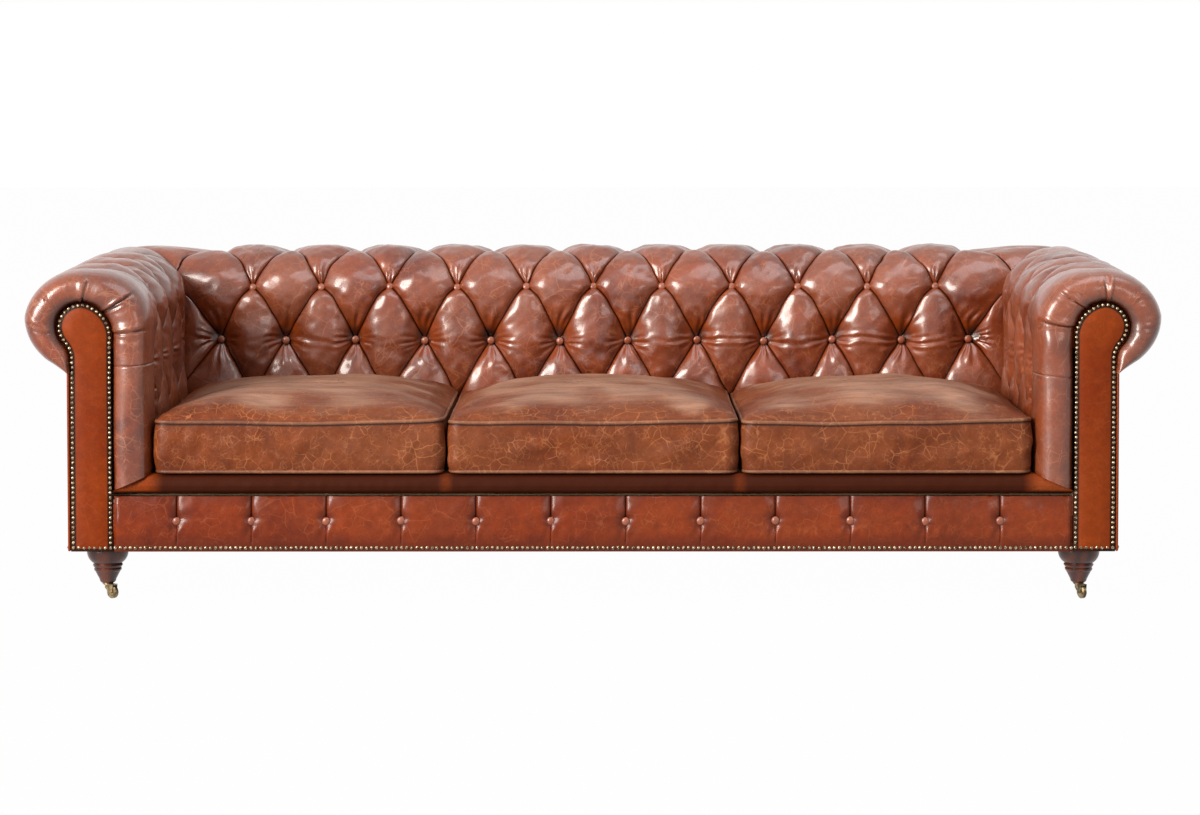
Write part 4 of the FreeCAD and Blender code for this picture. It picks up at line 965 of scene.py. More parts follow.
def nails():
    pattern = nail_pattern()
    chance = np.random.default_rng(8)

    def row(name, spots, out):
        stood = []
        for spot in spots:
            shake = Vector(chance.uniform(-0.0004, 0.0004, 3))
            tilt = Vector(chance.uniform(-0.10, 0.10, 3))
            stood.append(standing(Vector(spot) + shake, Vector(out) + tilt, chance.uniform(0, 6)))
        dress(copies(name, pattern, stood), "sofa", "brass", aged_brass)

    level = BODY_BOTTOM + 0.0085
    for name, side in SIDES.items():
        line = keyhole(-0.0035, top_only=False)
        line[0, 1] = line[-1, 1] = level
        foot = nail_spots([line[0], line[-1]])[1:-1]
        spots = [(side * (INNER_HALF + u), FACING_NAIL_Y, z) for u, z in [*nail_spots(line), *foot]]
        row(f"facing_nails_{name}", spots, (0, -1, 0))
        flank = nail_spots([(-0.462, level), (BACK_FACE + PANEL_REACH - 0.008, level)])
        spots = [(side * (INNER_HALF + PANEL_REACH - 0.0005), y, z) for y, z in flank]
        row(f"side_nails_{name}", spots, (side, 0, 0))
    half = BORDER_HALF - 0.004
    front = nail_spots([(-half, level), (half, level)])
    row("border_nails", [(x, BORDER_NAIL_Y, z) for x, z in front], (0, -1, -0.1))
    half = INNER_HALF + PANEL_REACH - 0.010
    rear = nail_spots([(-half, level), (half, level)])
    row("rear_nails", [(x, BACK_FACE + PANEL_REACH - 0.0005, z) for x, z in rear], (0, 1, 0))
    drop(pattern)


# Loose cushions

CUSHION_PITCH = 0.6323
CUSHION_HALF = (0.3146, 0.335)
CUSHION_Y = -0.137
CUSHION_BASE = DECK + 0.0005
BOXING = 0.110
CROWN = 0.063
PIPE = 0.0042
# How far the piping is drawn in from its seam, as shares along X, Y and Z
PIPING_DRAW = {"upper": (0.9960, 0.9975, 1), "lower": (0.9925, 0.9925, 1)}


def rounded_ring(half_x, half_y, radius, count):
    """Points round a rectangle with rounded corners, starting at the middle of its front."""
    corners = []
    for cx, cy, start in ((1, -1, -90), (1, 1, 0), (-1, 1, 90), (-1, -1, 180)):
        middle_x, middle_y = cx * (half_x - radius), cy * (half_y - radius)
        for step in range(13):
            angle = math.radians(start + 90 * step / 12)
            corners.append((middle_x + radius * math.cos(angle), middle_y + radius * math.sin(angle)))
    return evenly(np.array([(0, -half_y), *corners, (0, -half_y)]), count + 1)


CROWN_RISE = [(0, 0), (0.014, 0.25), (0.046, 0.55), (0.104, 0.80), (0.180, 0.95), (0.250, 0.99), (0.340, 1.0)]


def cushion(name, step, seed):
    """A boxed cushion: crowned top, full sides and a flat base, all puckered a little at the seams."""
    count = 420
    half_x, half_y = CUSHION_HALF
    rings, rise = [], np.array(CROWN_RISE)
    painted_shade_rings, seam_shade_rings, across, upward = [], [], [], []
    soft = np.random.default_rng(seed)
    lean, _ = soft.uniform(-0.003, 0.003, 2)

    # Each ring carries painted shade: on the underside, at the seams and on the sides next to them, none on
    # the top. seam is a near-black shade painted along the seams
    def ring(inset, radius, z, painted_shade, seam, up):
        line = rounded_ring(half_x - inset, half_y - inset, radius, count)
        rings.append(np.column_stack([line[:, 0], line[:, 1], np.full(len(line), z)]))
        painted_shade_rings.append(np.full(len(line), painted_shade))
        seam_shade_rings.append(np.full(len(line), seam))
        across.append(np.linspace(0, 2.4, len(line)))
        upward.append(np.full(len(line), up))

    base, top = CUSHION_BASE, CUSHION_BASE + BOXING
    # Underside, from its middle outwards
    for inset in (0.30, 0.20, 0.10, 0.04, 0.012):
        ring(inset, 0.03, base + 0.0008, 0.5, 0, -inset)
    ring(0.0045, 0.026, base + 0.0025, 0.8, 1.0, 0)
    # Sides
    for t in np.linspace(0, 1, 19):
        full = math.sin(math.pi * t) ** 0.7
        inset = 0.0050 - 0.0042 * full - 0.0012 * t
        height = base + 0.004 + (BOXING - 0.008) * t
        seam = max(0, 1 - 14 * min(t, 1 - t))
        ring(inset, 0.026, height, 0.35 * (1 - full), seam, 0.004 + BOXING * t)
    # Top, from the upper seam to the middle
    ring(0.0045, 0.026, top, 0.8, 1.0, BOXING)
    insets = np.concatenate([np.linspace(0.008, 0.10, 20), np.linspace(0.11, 0.305, 24)])
    for inset in insets:
        share = np.interp(inset, rise[:, 0], rise[:, 1])
        ring(inset, 0.026 + inset * 0.20, top + CROWN * share, 0, 0, BOXING + inset)
    points = np.array(rings)
    x, y, z = points[..., 0], points[..., 1], points[..., 2]
    # The crown is softened across its whole width, and settles unevenly
    lift = np.clip((z - top) / CROWN, 0, 1)
    side = np.abs(x) / half_x
    depth = np.abs(y) / half_y
    dome = (1 - side ** 2.6) * (1 - depth ** 3.2)
    inner = z > top + 0.0005
    z = np.where(inner, top + CROWN * (0.70 * lift + 0.30 * lift ** 0.5 * np.clip(dome, 0, 1) ** 0.75), z)
    sag = 0.0045 * ripple(x + seed, y, 0.26, seed) + 0.0016 * ripple(x + seed, y, 0.07, seed + 1)
    z = z + np.where(inner, sag * ease(lift, 0, 0.4), 0)
    # Puckers run in from the seams over the top and down the sides
    near_seam = np.exp(-np.abs(z - top) / 0.020)
    pucker = ripple(x * 3 + seed, y * 3, 0.06, seed + 2) * 0.0011
    z = z + np.where(inner, pucker * near_seam, 0)
    wave = 0.0020 * ripple(x + y + seed, z * 2.2, 0.075, seed + 3)
    wave = wave + 0.0008 * ripple((x + y) * 1.5, z, 0.026, seed + 4)
    on_side = (points[..., 2] > base + 0.004) & (points[..., 2] < top - 0.002)
    span = np.sin(math.pi * np.clip((points[..., 2] - base) / BOXING, 0, 1))
    creased = 0 * x
    for place in soft.uniform(-0.85, 0.85, 4):
        stray = 0.004 * ripple(z * 3, x * 0, 0.10, seed + 7)
        creased = creased + np.exp(-np.abs(x - place * half_x - stray) / 0.0030) * (depth > 0.93)
    shift = np.where(on_side, (wave - 0.0020 * creased) * span, 0)
    x = x + shift * np.sign(x) * (side > 0.93)
    y = y + shift * np.sign(y) * (depth > 0.93)
    at_top = ease(points[..., 2], top - 0.030, top - 0.001)
    seam_wave = lean * x / half_x + 0.0016 * ripple(x + seed, y, 0.14, seed + 5)
    # The corners towards the neighbours are pulled up by the crown
    corner = np.exp(-((half_x - np.abs(x)) / 0.060) - (half_y - np.abs(y)) / 0.060)
    z = z + at_top * (seam_wave + 0.0065 * corner)
    centre = step * CUSHION_PITCH
    placed = np.stack([x + centre, y + CUSHION_Y, z], axis=-1)
    placed[..., 0] = np.clip(placed[..., 0], centre - half_x, centre + half_x)
    piece, row, column = sheet_of(f"cushion_hide_{name}", placed)
    give_values(piece, "painted_shade", np.array(painted_shade_rings)[row, column])
    give_values(piece, "pleat", np.array(seam_shade_rings)[row, column])
    fade_start = CUSHION_BASE + BOXING + 0.012 + 0.014 * ripple(x + seed, y, 0.09, seed + 8)
    top_side = ease(placed[..., 2], fade_start, fade_start + 0.046)
    give_values(piece, "faded", top_side[row, column])
    give_map(piece, np.array(across)[row, column] + step, np.array(upward)[row, column])
    tidy(piece, gap=0.0002)
    smooth(piece, 60)
    tops = placed[len(rings) - len(insets) - 1]
    lows = placed[5]
    return piece, tops, lows


def piping(name, line):
    """A round welt sewn into a seam, as a closed tube along the seam's line."""
    count, sides = len(line) - 1, 10
    line = line[:-1]
    ahead = np.roll(line, -1, axis=0) - np.roll(line, 1, axis=0)
    ahead /= np.linalg.norm(ahead, axis=1)[:, None]
    up = np.array([0, 0, 1.0])
    out = np.cross(ahead, up)
    out /= np.linalg.norm(out, axis=1)[:, None]
    angles = np.linspace(0, 2 * math.pi, sides + 1)
    rings = [line + PIPE * (math.cos(a) * out + math.sin(a) * up) for a in angles]
    points = np.array(rings)
    points = np.concatenate([points, points[:, :1]], axis=1)
    piece, row, column = sheet_of(name, points)
    run = np.linspace(0, 2.5, count + 1)
    give_map(piece, run[column], row / sides * 0.026)
    tidy(piece, close=False)
    smooth(piece, 80)
    return piece


def cushions():
    for number, (name, step) in enumerate((("left", -1), ("middle", 0), ("right", 1))):
        piece, tops, lows = cushion(name, step, 100 + 17 * number)
        body = f"cushion_{name}"
        dress(piece, body, "leather_seat", seat_leather, f"cushion_cover_{name}", f"cushion_core_{name}")
        for level, line in (("upper", tops), ("lower", lows)):
            middle = np.array([step * CUSHION_PITCH, CUSHION_Y, 0])
            line = middle + (line - middle) * np.array(PIPING_DRAW[level])
            if level == "lower":
                line[:, 2] = CUSHION_BASE + PIPE + 0.0004
            dress(piping(f"{level}_piping_{name}", line), body, "leather_seat", piping_leather)


# Materials


def material(name):
    made = bpy.data.materials.new(name)
    made.use_nodes = True
    return made, made.node_tree.nodes, made.node_tree.links


def mixed(nodes, links, kind, factor, a, b):
    """A colour mix. Each of factor, a and b is a socket or a plain value."""
    mix = nodes.new("ShaderNodeMix")
    mix.data_type = "RGBA"
    mix.blend_type = kind
    for socket, given in ((mix.inputs[0], factor), (mix.inputs[6], a), (mix.inputs[7], b)):
        if isinstance(given, bpy.types.NodeSocket):
            links.new(given, socket)
        elif isinstance(given, (int, float)):
            socket.default_value = given
        else:
            socket.default_value = (*given, 1)
    return mix.outputs[2]


def sums(nodes, links, operation, a, b=None, clamp=False):
    node = nodes.new("ShaderNodeMath")
    node.operation = operation
    node.use_clamp = clamp
    for socket, given in ((node.inputs[0], a), (node.inputs[1], b)):
        if isinstance(given, bpy.types.NodeSocket):
            links.new(given, socket)
        elif given is not None:
            socket.default_value = given
    return node.outputs[0]


def weighted(nodes, links, a, share_a, b, share_b):
    """The sum of two sockets, each multiplied by its share first."""
    parts = [sums(nodes, links, "MULTIPLY", a, share_a), sums(nodes, links, "MULTIPLY", b, share_b)]
    return sums(nodes, links, "ADD", *parts)


def bumped(nodes, links, height, strength, distance):
    """Lets the shader see the surface raised by height."""
    bump = nodes.new("ShaderNodeBump")
    bump.inputs["Strength"].default_value = strength
    bump.inputs["Distance"].default_value = distance
    links.new(height, bump.inputs["Height"])
    links.new(bump.outputs["Normal"], nodes["Principled BSDF"].inputs["Normal"])


def ramp(nodes, links, source, low, high, start=0.0, end=1.0):
    node = nodes.new("ShaderNodeMapRange")
    node.clamp = True
    links.new(source, node.inputs["Value"])
    node.inputs["From Min"].default_value = low
    node.inputs["From Max"].default_value = high
    node.inputs["To Min"].default_value = start
    node.inputs["To Max"].default_value = end
    return node.outputs["Result"]


def noise(nodes, links, place, scale, detail=4, rough=0.55, distortion=0.0):
    node = nodes.new("ShaderNodeTexNoise")
    node.inputs["Scale"].default_value = scale
    node.inputs["Detail"].default_value = detail
    node.inputs["Roughness"].default_value = rough
    node.inputs["Distortion"].default_value = distortion
    links.new(place, node.inputs["Vector"])
    return node.outputs["Fac"]


def stretched(nodes, links, place, scale):
    node = nodes.new("ShaderNodeMapping")
    node.inputs["Scale"].default_value = scale
    links.new(place, node.inputs["Vector"])
    return node.outputs["Vector"]


def new_group(name, takes, gives):
    group = bpy.data.node_groups.new(name, "ShaderNodeTree")
    for label, kind, start in takes:
        socket = group.interface.new_socket(label, in_out="INPUT", socket_type=kind)
        if start is not None:
            socket.default_value = start
    for label, kind in gives:
        group.interface.new_socket(label, in_out="OUTPUT", socket_type=kind)
    inward = group.nodes.new("NodeGroupInput")
    outward = group.nodes.new("NodeGroupOutput")
    return group, inward.outputs, outward.inputs


COLOUR, NUMBER, VECTOR = "NodeSocketColor", "NodeSocketFloat", "NodeSocketVector"


def crackle(nodes, links, place, scale, thin, low, high):
    """Thin straight lines that meet in an irregular net, shown in patches only."""
    shake = nodes.new("ShaderNodeTexNoise")
    shake.inputs["Scale"].default_value = scale * 1.5
    shake.inputs["Detail"].default_value = 3
    links.new(place, shake.inputs["Vector"])
    shaken = mixed(nodes, links, "ADD", 0.28 / scale, place, shake.outputs["Color"])
    cells = nodes.new("ShaderNodeTexVoronoi")
    cells.feature = "DISTANCE_TO_EDGE"
    cells.inputs["Scale"].default_value = scale
    links.new(shaken, cells.inputs["Vector"])
    lines = ramp(nodes, links, cells.outputs["Distance"], 0.0, thin, 1.0, 0.0)
    shown = ramp(nodes, links, noise(nodes, links, place, scale * 0.45, 4, 0.65), low, high)
    return sums(nodes, links, "MULTIPLY", lines, shown)


def leather_tones():
    """Colour of aged hide: cloudy stain, rubbed pale patches and thin pale scratches."""
    takes = [
        ("Place", VECTOR, None), ("Body", COLOUR, (0.3, 0.1, 0.04, 1)),
        ("Rubbed", COLOUR, (0.4, 0.2, 0.1, 1)), ("Stain", COLOUR, (0.2, 0.05, 0.02, 1)),
        ("Scratched", COLOUR, (0.5, 0.3, 0.2, 1)), ("Painted Shade", NUMBER, 0.0),
        ("Cloud Size", NUMBER, 6.0), ("Rub", NUMBER, 0.5), ("Cracks", NUMBER, 0.5),
    ]
    gives = [("Colour", COLOUR), ("Wear", NUMBER), ("Crack Lines", NUMBER)]
    group, given, out = new_group("leather_tones", takes, gives)
    nodes, links = group.nodes, group.links
    place = given["Place"]
    clouds = nodes.new("ShaderNodeTexNoise")
    clouds.inputs["Detail"].default_value = 6
    clouds.inputs["Roughness"].default_value = 0.66
    clouds.inputs["Distortion"].default_value = 0.5
    links.new(place, clouds.inputs["Vector"])
    links.new(given["Cloud Size"], clouds.inputs["Scale"])
    cloud = ramp(nodes, links, clouds.outputs["Fac"], 0.38, 0.62)
    rub = ramp(nodes, links, noise(nodes, links, place, 3.1, 4, 0.6), 0.36, 0.66)
    fine = noise(nodes, links, place, 75, 5, 0.7)
    long_lines = crackle(nodes, links, place, 15, 0.020, 0.50, 0.58)
    short_lines = crackle(nodes, links, place, 42, 0.045, 0.47, 0.60)
    fine_lines = crackle(nodes, links, place, 110, 0.110, 0.48, 0.64)
    fine_lines = sums(nodes, links, "MULTIPLY", fine_lines, 0.6)
    lines = sums(nodes, links, "MAXIMUM", long_lines, sums(nodes, links, "MAXIMUM", short_lines, fine_lines))
    lines = sums(nodes, links, "MULTIPLY", lines, given["Cracks"])
    colour = mixed(nodes, links, "MIX", cloud, given["Stain"], given["Body"])
    worn = sums(nodes, links, "MULTIPLY", rub, given["Rub"])
    # The rubbed wear is kept out of the places where shade is painted
    proud = sums(nodes, links, "SUBTRACT", 1.0, given["Painted Shade"], clamp=True)
    worn = sums(nodes, links, "MULTIPLY", worn, proud)
    colour = mixed(nodes, links, "MIX", worn, colour, given["Rubbed"])
    colour = mixed(nodes, links, "MIX", lines, colour, given["Scratched"])
    mottle = ramp(nodes, links, fine, 0.25, 0.75, 0.80, 1.18)
    mottled = nodes.new("ShaderNodeVectorMath")
    mottled.operation = "SCALE"
    links.new(colour, mottled.inputs[0])
    links.new(mottle, mottled.inputs["Scale"])
    links.new(mottled.outputs["Vector"], out["Colour"])
    links.new(worn, out["Wear"])
    links.new(lines, out["Crack Lines"])
    return group


def leather_grain():
    """Height of the hide's surface: pores, fine creases and long stretch marks."""
    takes = [
        ("Place", VECTOR, None), ("Pores", NUMBER, 0.5), ("Wrinkles", NUMBER, 0.5),
        ("Wrinkle Size", NUMBER, 60.0),
    ]
    group, given, out = new_group("leather_grain", takes, [("Height", NUMBER)])
    nodes, links = group.nodes, group.links
    place = given["Place"]
    pores = nodes.new("ShaderNodeTexVoronoi")
    pores.inputs["Scale"].default_value = 620
    links.new(place, pores.inputs["Vector"])
    pore = sums(nodes, links, "MULTIPLY", pores.outputs["Distance"], given["Pores"])
    ridges = nodes.new("ShaderNodeTexNoise")
    ridges.inputs["Detail"].default_value = 6
    ridges.inputs["Roughness"].default_value = 0.6
    ridges.inputs["Distortion"].default_value = 1.2
    links.new(place, ridges.inputs["Vector"])
    links.new(given["Wrinkle Size"], ridges.inputs["Scale"])
    folded = sums(nodes, links, "ABSOLUTE", sums(nodes, links, "SUBTRACT", ridges.outputs["Fac"], 0.5))
    fold = sums(nodes, links, "MULTIPLY", folded, given["Wrinkles"])
    links.new(weighted(nodes, links, pore, 0.25, fold, 3.0), out["Height"])
    return group


TONES = leather_tones()
GRAIN = leather_grain()


def attribute(nodes, name):
    node = nodes.new("ShaderNodeAttribute")
    node.attribute_name = name
    return node.outputs["Fac"]


def leather(name, tones, cloud, rub, cracks, gloss, wrinkles, mapped=True, coat=0.0, shine=0.5, faded=None):
    """A hide. tones are its body, rubbed, stained and scratched colours and the tone of the shade painted on
    it, gloss is its roughness, shine how much it mirrors and faded the tone of its faded places."""
    body, rubbed, stain, scratched, deep = tones
    made, nodes, links = material(name)
    shader = nodes["Principled BSDF"]
    coords = nodes.new("ShaderNodeTexCoord")
    place = coords.outputs["Object"]
    aged = nodes.new("ShaderNodeGroup")
    aged.node_tree = TONES
    links.new(place, aged.inputs["Place"])
    for label, tone in (("Body", body), ("Rubbed", rubbed), ("Stain", stain), ("Scratched", scratched)):
        aged.inputs[label].default_value = (*tone, 1)
    for label, number in (("Cloud Size", cloud), ("Rub", rub), ("Cracks", cracks)):
        aged.inputs[label].default_value = number
    colour = aged.outputs["Colour"]
    if mapped:
        # Painted shade: the colour darkens to the last of the tones where the piece's shade mask says
        painted_shade = attribute(nodes, "painted_shade")
        links.new(painted_shade, aged.inputs["Painted Shade"])
        colour = mixed(nodes, links, "MIX", ramp(nodes, links, painted_shade, 0.10, 0.80), colour, deep)
        if faded:
            streaks = noise(nodes, links, stretched(nodes, links, place, (7, 42, 30)), 1.0, 5, 0.65, 0.6)
            uneven = ramp(nodes, links, streaks, 0.3, 0.7, -0.60, 0.30)
            patchy = sums(nodes, links, "ADD", attribute(nodes, "faded"), uneven)
            shown = sums(nodes, links, "MULTIPLY", patchy, attribute(nodes, "faded"), clamp=True)
            pale = tuple(1.35 * part for part in faded)
            dull = tuple(0.66 * part for part in faded)
            banks = noise(nodes, links, stretched(nodes, links, place, (4, 11, 9)), 1.0, 6, 0.72, 0.8)
            faded_hide = mixed(nodes, links, "MIX", ramp(nodes, links, banks, 0.32, 0.66), dull, pale)
            scuffs = sums(nodes, links, "MULTIPLY", aged.outputs["Crack Lines"], 0.75)
            faded_hide = mixed(nodes, links, "MIX", scuffs, faded_hide, scratched)
            colour = mixed(nodes, links, "MIX", shown, colour, faded_hide)
        # Painted shade, near-black, along pleats and seams and in recesses
        dark = ramp(nodes, links, attribute(nodes, "pleat"), 0.42, 0.90)
        colour = mixed(nodes, links, "MIX", dark, colour, PAINTED_CREASE_SHADE)
    links.new(colour, shader.inputs["Base Color"])
    rough = ramp(nodes, links, noise(nodes, links, place, 24, 5, 0.65), 0.3, 0.7, gloss - 0.07, gloss + 0.11)
    rough = sums(nodes, links, "ADD", rough, sums(nodes, links, "MULTIPLY", aged.outputs["Wear"], 0.08))
    links.new(rough, shader.inputs["Roughness"])
    shader.inputs["Specular IOR Level"].default_value = shine
    shader.inputs["Coat Weight"].default_value = coat
    shader.inputs["Coat Roughness"].default_value = 0.185
    grain = nodes.new("ShaderNodeGroup")
    grain.node_tree = GRAIN
    links.new(place, grain.inputs["Place"])
    grain.inputs["Pores"].default_value = 0.5
    grain.inputs["Wrinkles"].default_value = wrinkles
    grain.inputs["Wrinkle Size"].default_value = 46
    dents = sums(nodes, links, "MULTIPLY", aged.outputs["Crack Lines"], 0.35)
    bumped(nodes, links, sums(nodes, links, "SUBTRACT", grain.outputs["Height"], dents), 0.5, 0.0012)
    return made


def wood(name, light, dark, gloss, bands, along_axis=(1, 1, 0.12)):
    """Timber with growth bands and fine fibres."""
    made, nodes, links = material(name)
    shader = nodes["Principled BSDF"]
    coords = nodes.new("ShaderNodeTexCoord")
    place = stretched(nodes, links, coords.outputs["Object"], along_axis)
    wave = nodes.new("ShaderNodeTexWave")
    wave.inputs["Scale"].default_value = bands
    wave.inputs["Distortion"].default_value = 6
    wave.inputs["Detail"].default_value = 3
    links.new(place, wave.inputs["Vector"])
    fibre = noise(nodes, links, place, 320, 3)
    grain = weighted(nodes, links, wave.outputs["Fac"], 0.6, fibre, 0.5)
    colour = mixed(nodes, links, "MIX", ramp(nodes, links, grain, 0.2, 0.85), dark, light)
    links.new(colour, shader.inputs["Base Color"])
    links.new(ramp(nodes, links, fibre, 0.3, 0.7, gloss, gloss + 0.15), shader.inputs["Roughness"])
    bumped(nodes, links, grain, 0.25, 0.0006)
    return made


def metal(name, light, dark, gloss, patches=60.0):
    """Metal with tarnish in soft patches."""
    made, nodes, links = material(name)
    shader = nodes["Principled BSDF"]
    coords = nodes.new("ShaderNodeTexCoord")
    tarnish = ramp(nodes, links, noise(nodes, links, coords.outputs["Object"], patches, 4), 0.40, 0.62)
    links.new(mixed(nodes, links, "MIX", tarnish, dark, light), shader.inputs["Base Color"])
    links.new(ramp(nodes, links, tarnish, 0, 1, gloss + 0.2, gloss), shader.inputs["Roughness"])
    shader.inputs["Metallic"].default_value = 1.0
    return made


def cloth(name, light, dark, threads):
    """Plain woven cloth: crossing threads with uneven colour."""
    made, nodes, links = material(name)
    shader = nodes["Principled BSDF"]
    coords = nodes.new("ShaderNodeTexCoord")
    place = coords.outputs["Object"]
    weave = []
    for axis in ("X", "Y"):
        wave = nodes.new("ShaderNodeTexWave")
        wave.bands_direction = axis
        wave.inputs["Scale"].default_value = threads
        wave.inputs["Distortion"].default_value = 0.6
        links.new(place, wave.inputs["Vector"])
        weave.append(wave.outputs["Fac"])
    cross = sums(nodes, links, "MULTIPLY", weave[0], weave[1])
    uneven = noise(nodes, links, place, 40, 3)
    blend = weighted(nodes, links, cross, 0.6, uneven, 0.5)
    links.new(mixed(nodes, links, "MIX", blend, dark, light), shader.inputs["Base Color"])
    links.new(ramp(nodes, links, uneven, 0.3, 0.7, 0.85, 0.98), shader.inputs["Roughness"])
    bumped(nodes, links, cross, 0.5, 0.0008)
    return made


def open_foam(name, light, dark):
    """Upholstery foam: fine open cells."""
    made, nodes, links = material(name)
    shader = nodes["Principled BSDF"]
    coords = nodes.new("ShaderNodeTexCoord")
    cells = nodes.new("ShaderNodeTexVoronoi")
    cells.inputs["Scale"].default_value = 500
    links.new(coords.outputs["Object"], cells.inputs["Vector"])
    links.new(mixed(nodes, links, "MIX", cells.outputs["Distance"], dark, light), shader.inputs["Base Color"])
    links.new(ramp(nodes, links, cells.outputs["Distance"], 0, 1, 0.85, 0.98), shader.inputs["Roughness"])
    bumped(nodes, links, cells.outputs["Distance"], 0.4, 0.001)
    return made


# The near-black tone of the shade painted into pleats, seams and recesses
PAINTED_CREASE_SHADE = (0.012, 0.003, 0.002)
# Body, rubbed, stained and scratched tones, and the tone of the shade painted on the hide
TUFTED_TONES = (
    (0.190, 0.033, 0.006), (0.218, 0.059, 0.025), (0.091, 0.013, 0.003),
    (0.400, 0.150, 0.068), (0.180, 0.030, 0.003),
)
SEAT_TONES = (
    (0.157, 0.031, 0.006), (0.183, 0.056, 0.022), (0.085, 0.015, 0.004),
    (0.370, 0.135, 0.052), (0.100, 0.024, 0.008),
)
FADED_TONE = (0.290, 0.150, 0.096)
PLAIN_TONES = (
    (0.238, 0.037, 0.005), (0.264, 0.053, 0.011), (0.194, 0.026, 0.004),
    (0.400, 0.120, 0.045), (0.120, 0.026, 0.008),
)
FACING_TONES = (
    (0.207, 0.030, 0.002), (0.228, 0.042, 0.007), (0.158, 0.020, 0.002),
    (0.400, 0.120, 0.045), (0.022, 0.005, 0.002),
)
BORDER_TONES = (
    (0.176, 0.022, 0.002), (0.207, 0.038, 0.007), (0.104, 0.012, 0.002),
    (0.400, 0.120, 0.045), (0.070, 0.008, 0.001),
)
LIP_TONES = (
    (0.210, 0.034, 0.005), (0.250, 0.060, 0.018), (0.150, 0.022, 0.003),
    (0.400, 0.120, 0.045), (0.040, 0.008, 0.003),
)
BUTTON_TONES = (
    (0.240, 0.054, 0.020), (0.300, 0.100, 0.052), (0.170, 0.036, 0.012),
    (0.430, 0.200, 0.120), (0.100, 0.020, 0.008),
)
PIPING_TONES = (
    (0.130, 0.034, 0.011), (0.230, 0.088, 0.038), (0.080, 0.020, 0.007),
    (0.400, 0.190, 0.095), (0.100, 0.020, 0.010),
)
tufted_leather = leather("tufted_leather", TUFTED_TONES, 9, 0.75, 0.45, 0.33, 0.55, coat=0.66, shine=0.42)
seat_leather = leather("seat_leather", SEAT_TONES, 13, 0.60, 0.75, 0.44, 0.70, shine=0.16, faded=FADED_TONE)
plain_leather = leather("plain_leather", PLAIN_TONES, 5, 0.50, 0.10, 0.46, 0.15, mapped=False, shine=0.12)
facing_leather = leather("facing_leather", FACING_TONES, 5, 0.50, 0.10, 0.46, 0.15, shine=0.10)
border_leather = leather("border_leather", BORDER_TONES, 9, 0.50, 0.25, 0.32, 0.40, coat=0.25, shine=0.10)
lip_leather = leather("lip_leather", LIP_TONES, 7, 0.50, 0.30, 0.55, 0.40, shine=0.05)
button_leather = leather("button_leather", BUTTON_TONES, 40, 0.50, 0.0, 0.33, 0.20, mapped=False, coat=0.2)
piping_leather = leather("piping_leather", PIPING_TONES, 30, 0.90, 0.50, 0.46, 0.40, mapped=False, shine=0.4)
aged_brass = metal("aged_brass", (0.50, 0.40, 0.26), (0.055, 0.036, 0.020), 0.30, 260)
caster_brass = metal("caster_brass", (0.36, 0.28, 0.16), (0.09, 0.060, 0.032), 0.36, 90)
bolt_steel = metal("bolt_steel", (0.55, 0.55, 0.56), (0.30, 0.29, 0.28), 0.35, 80)
stained_foot = wood("stained_foot", (0.105, 0.026, 0.013), (0.035, 0.009, 0.006), 0.24, 9)
beech = wood("beech", (0.56, 0.38, 0.22), (0.40, 0.25, 0.13), 0.50, 5, (0.15, 1, 1))
pressed_board = wood("pressed_board", (0.30, 0.19, 0.11), (0.22, 0.14, 0.08), 0.70, 2, (1, 1, 1))
deck_fabric = cloth("deck_fabric", (0.13, 0.075, 0.05), (0.06, 0.035, 0.02), 300)
dust_fabric = cloth("dust_fabric", (0.035, 0.035, 0.035), (0.012, 0.012, 0.012), 420)
jute_weave = cloth("jute_weave", (0.50, 0.37, 0.22), (0.30, 0.21, 0.11), 160)
cream_foam = open_foam("cream_foam", (0.82, 0.74, 0.52), (0.62, 0.54, 0.34))

NODE_FINISHES = {
    "deck_cloth": deck_fabric, "dust_cloth": dust_fabric, "jute": jute_weave, "foam": cream_foam,
    "frame_timber": beech, "hardboard": pressed_board, "foot_wood": stained_foot, "steel": bolt_steel,
    "brass": caster_brass, "leather_tufted": tufted_leather, "leather_seat": seat_leather,
    "leather_smooth": plain_leather, "leather_button": button_leather,
}


def finish_nodes():
    """Gives every node of the frame the material of its slot in the record."""
    for part in frame["record"]["subparts"]:
        node = frame["nodes"][part["node"]]
        node.data.materials.clear()
        node.data.materials.append(NODE_FINISHES[part["material_slot"]])


def dress(piece, body, slot, finish, *nodes):
    """Gives a new piece its material and its body and hides the nodes that it stands for. slot is not used.
    """
    piece.data.materials.clear()
    piece.data.materials.append(finish)
    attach(piece, body)
    if nodes:
        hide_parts(*nodes)
    return piece


# Stage, light and camera


def seen_directly(nodes, links, path):
    """1 for rays from the camera and for those that mirror or pass through, 0 for the rest."""
    glossy, passing = path.outputs["Is Glossy Ray"], path.outputs["Is Transmission Ray"]
    indirect = sums(nodes, links, "MAXIMUM", glossy, passing)
    return sums(nodes, links, "MAXIMUM", path.outputs["Is Camera Ray"], indirect)


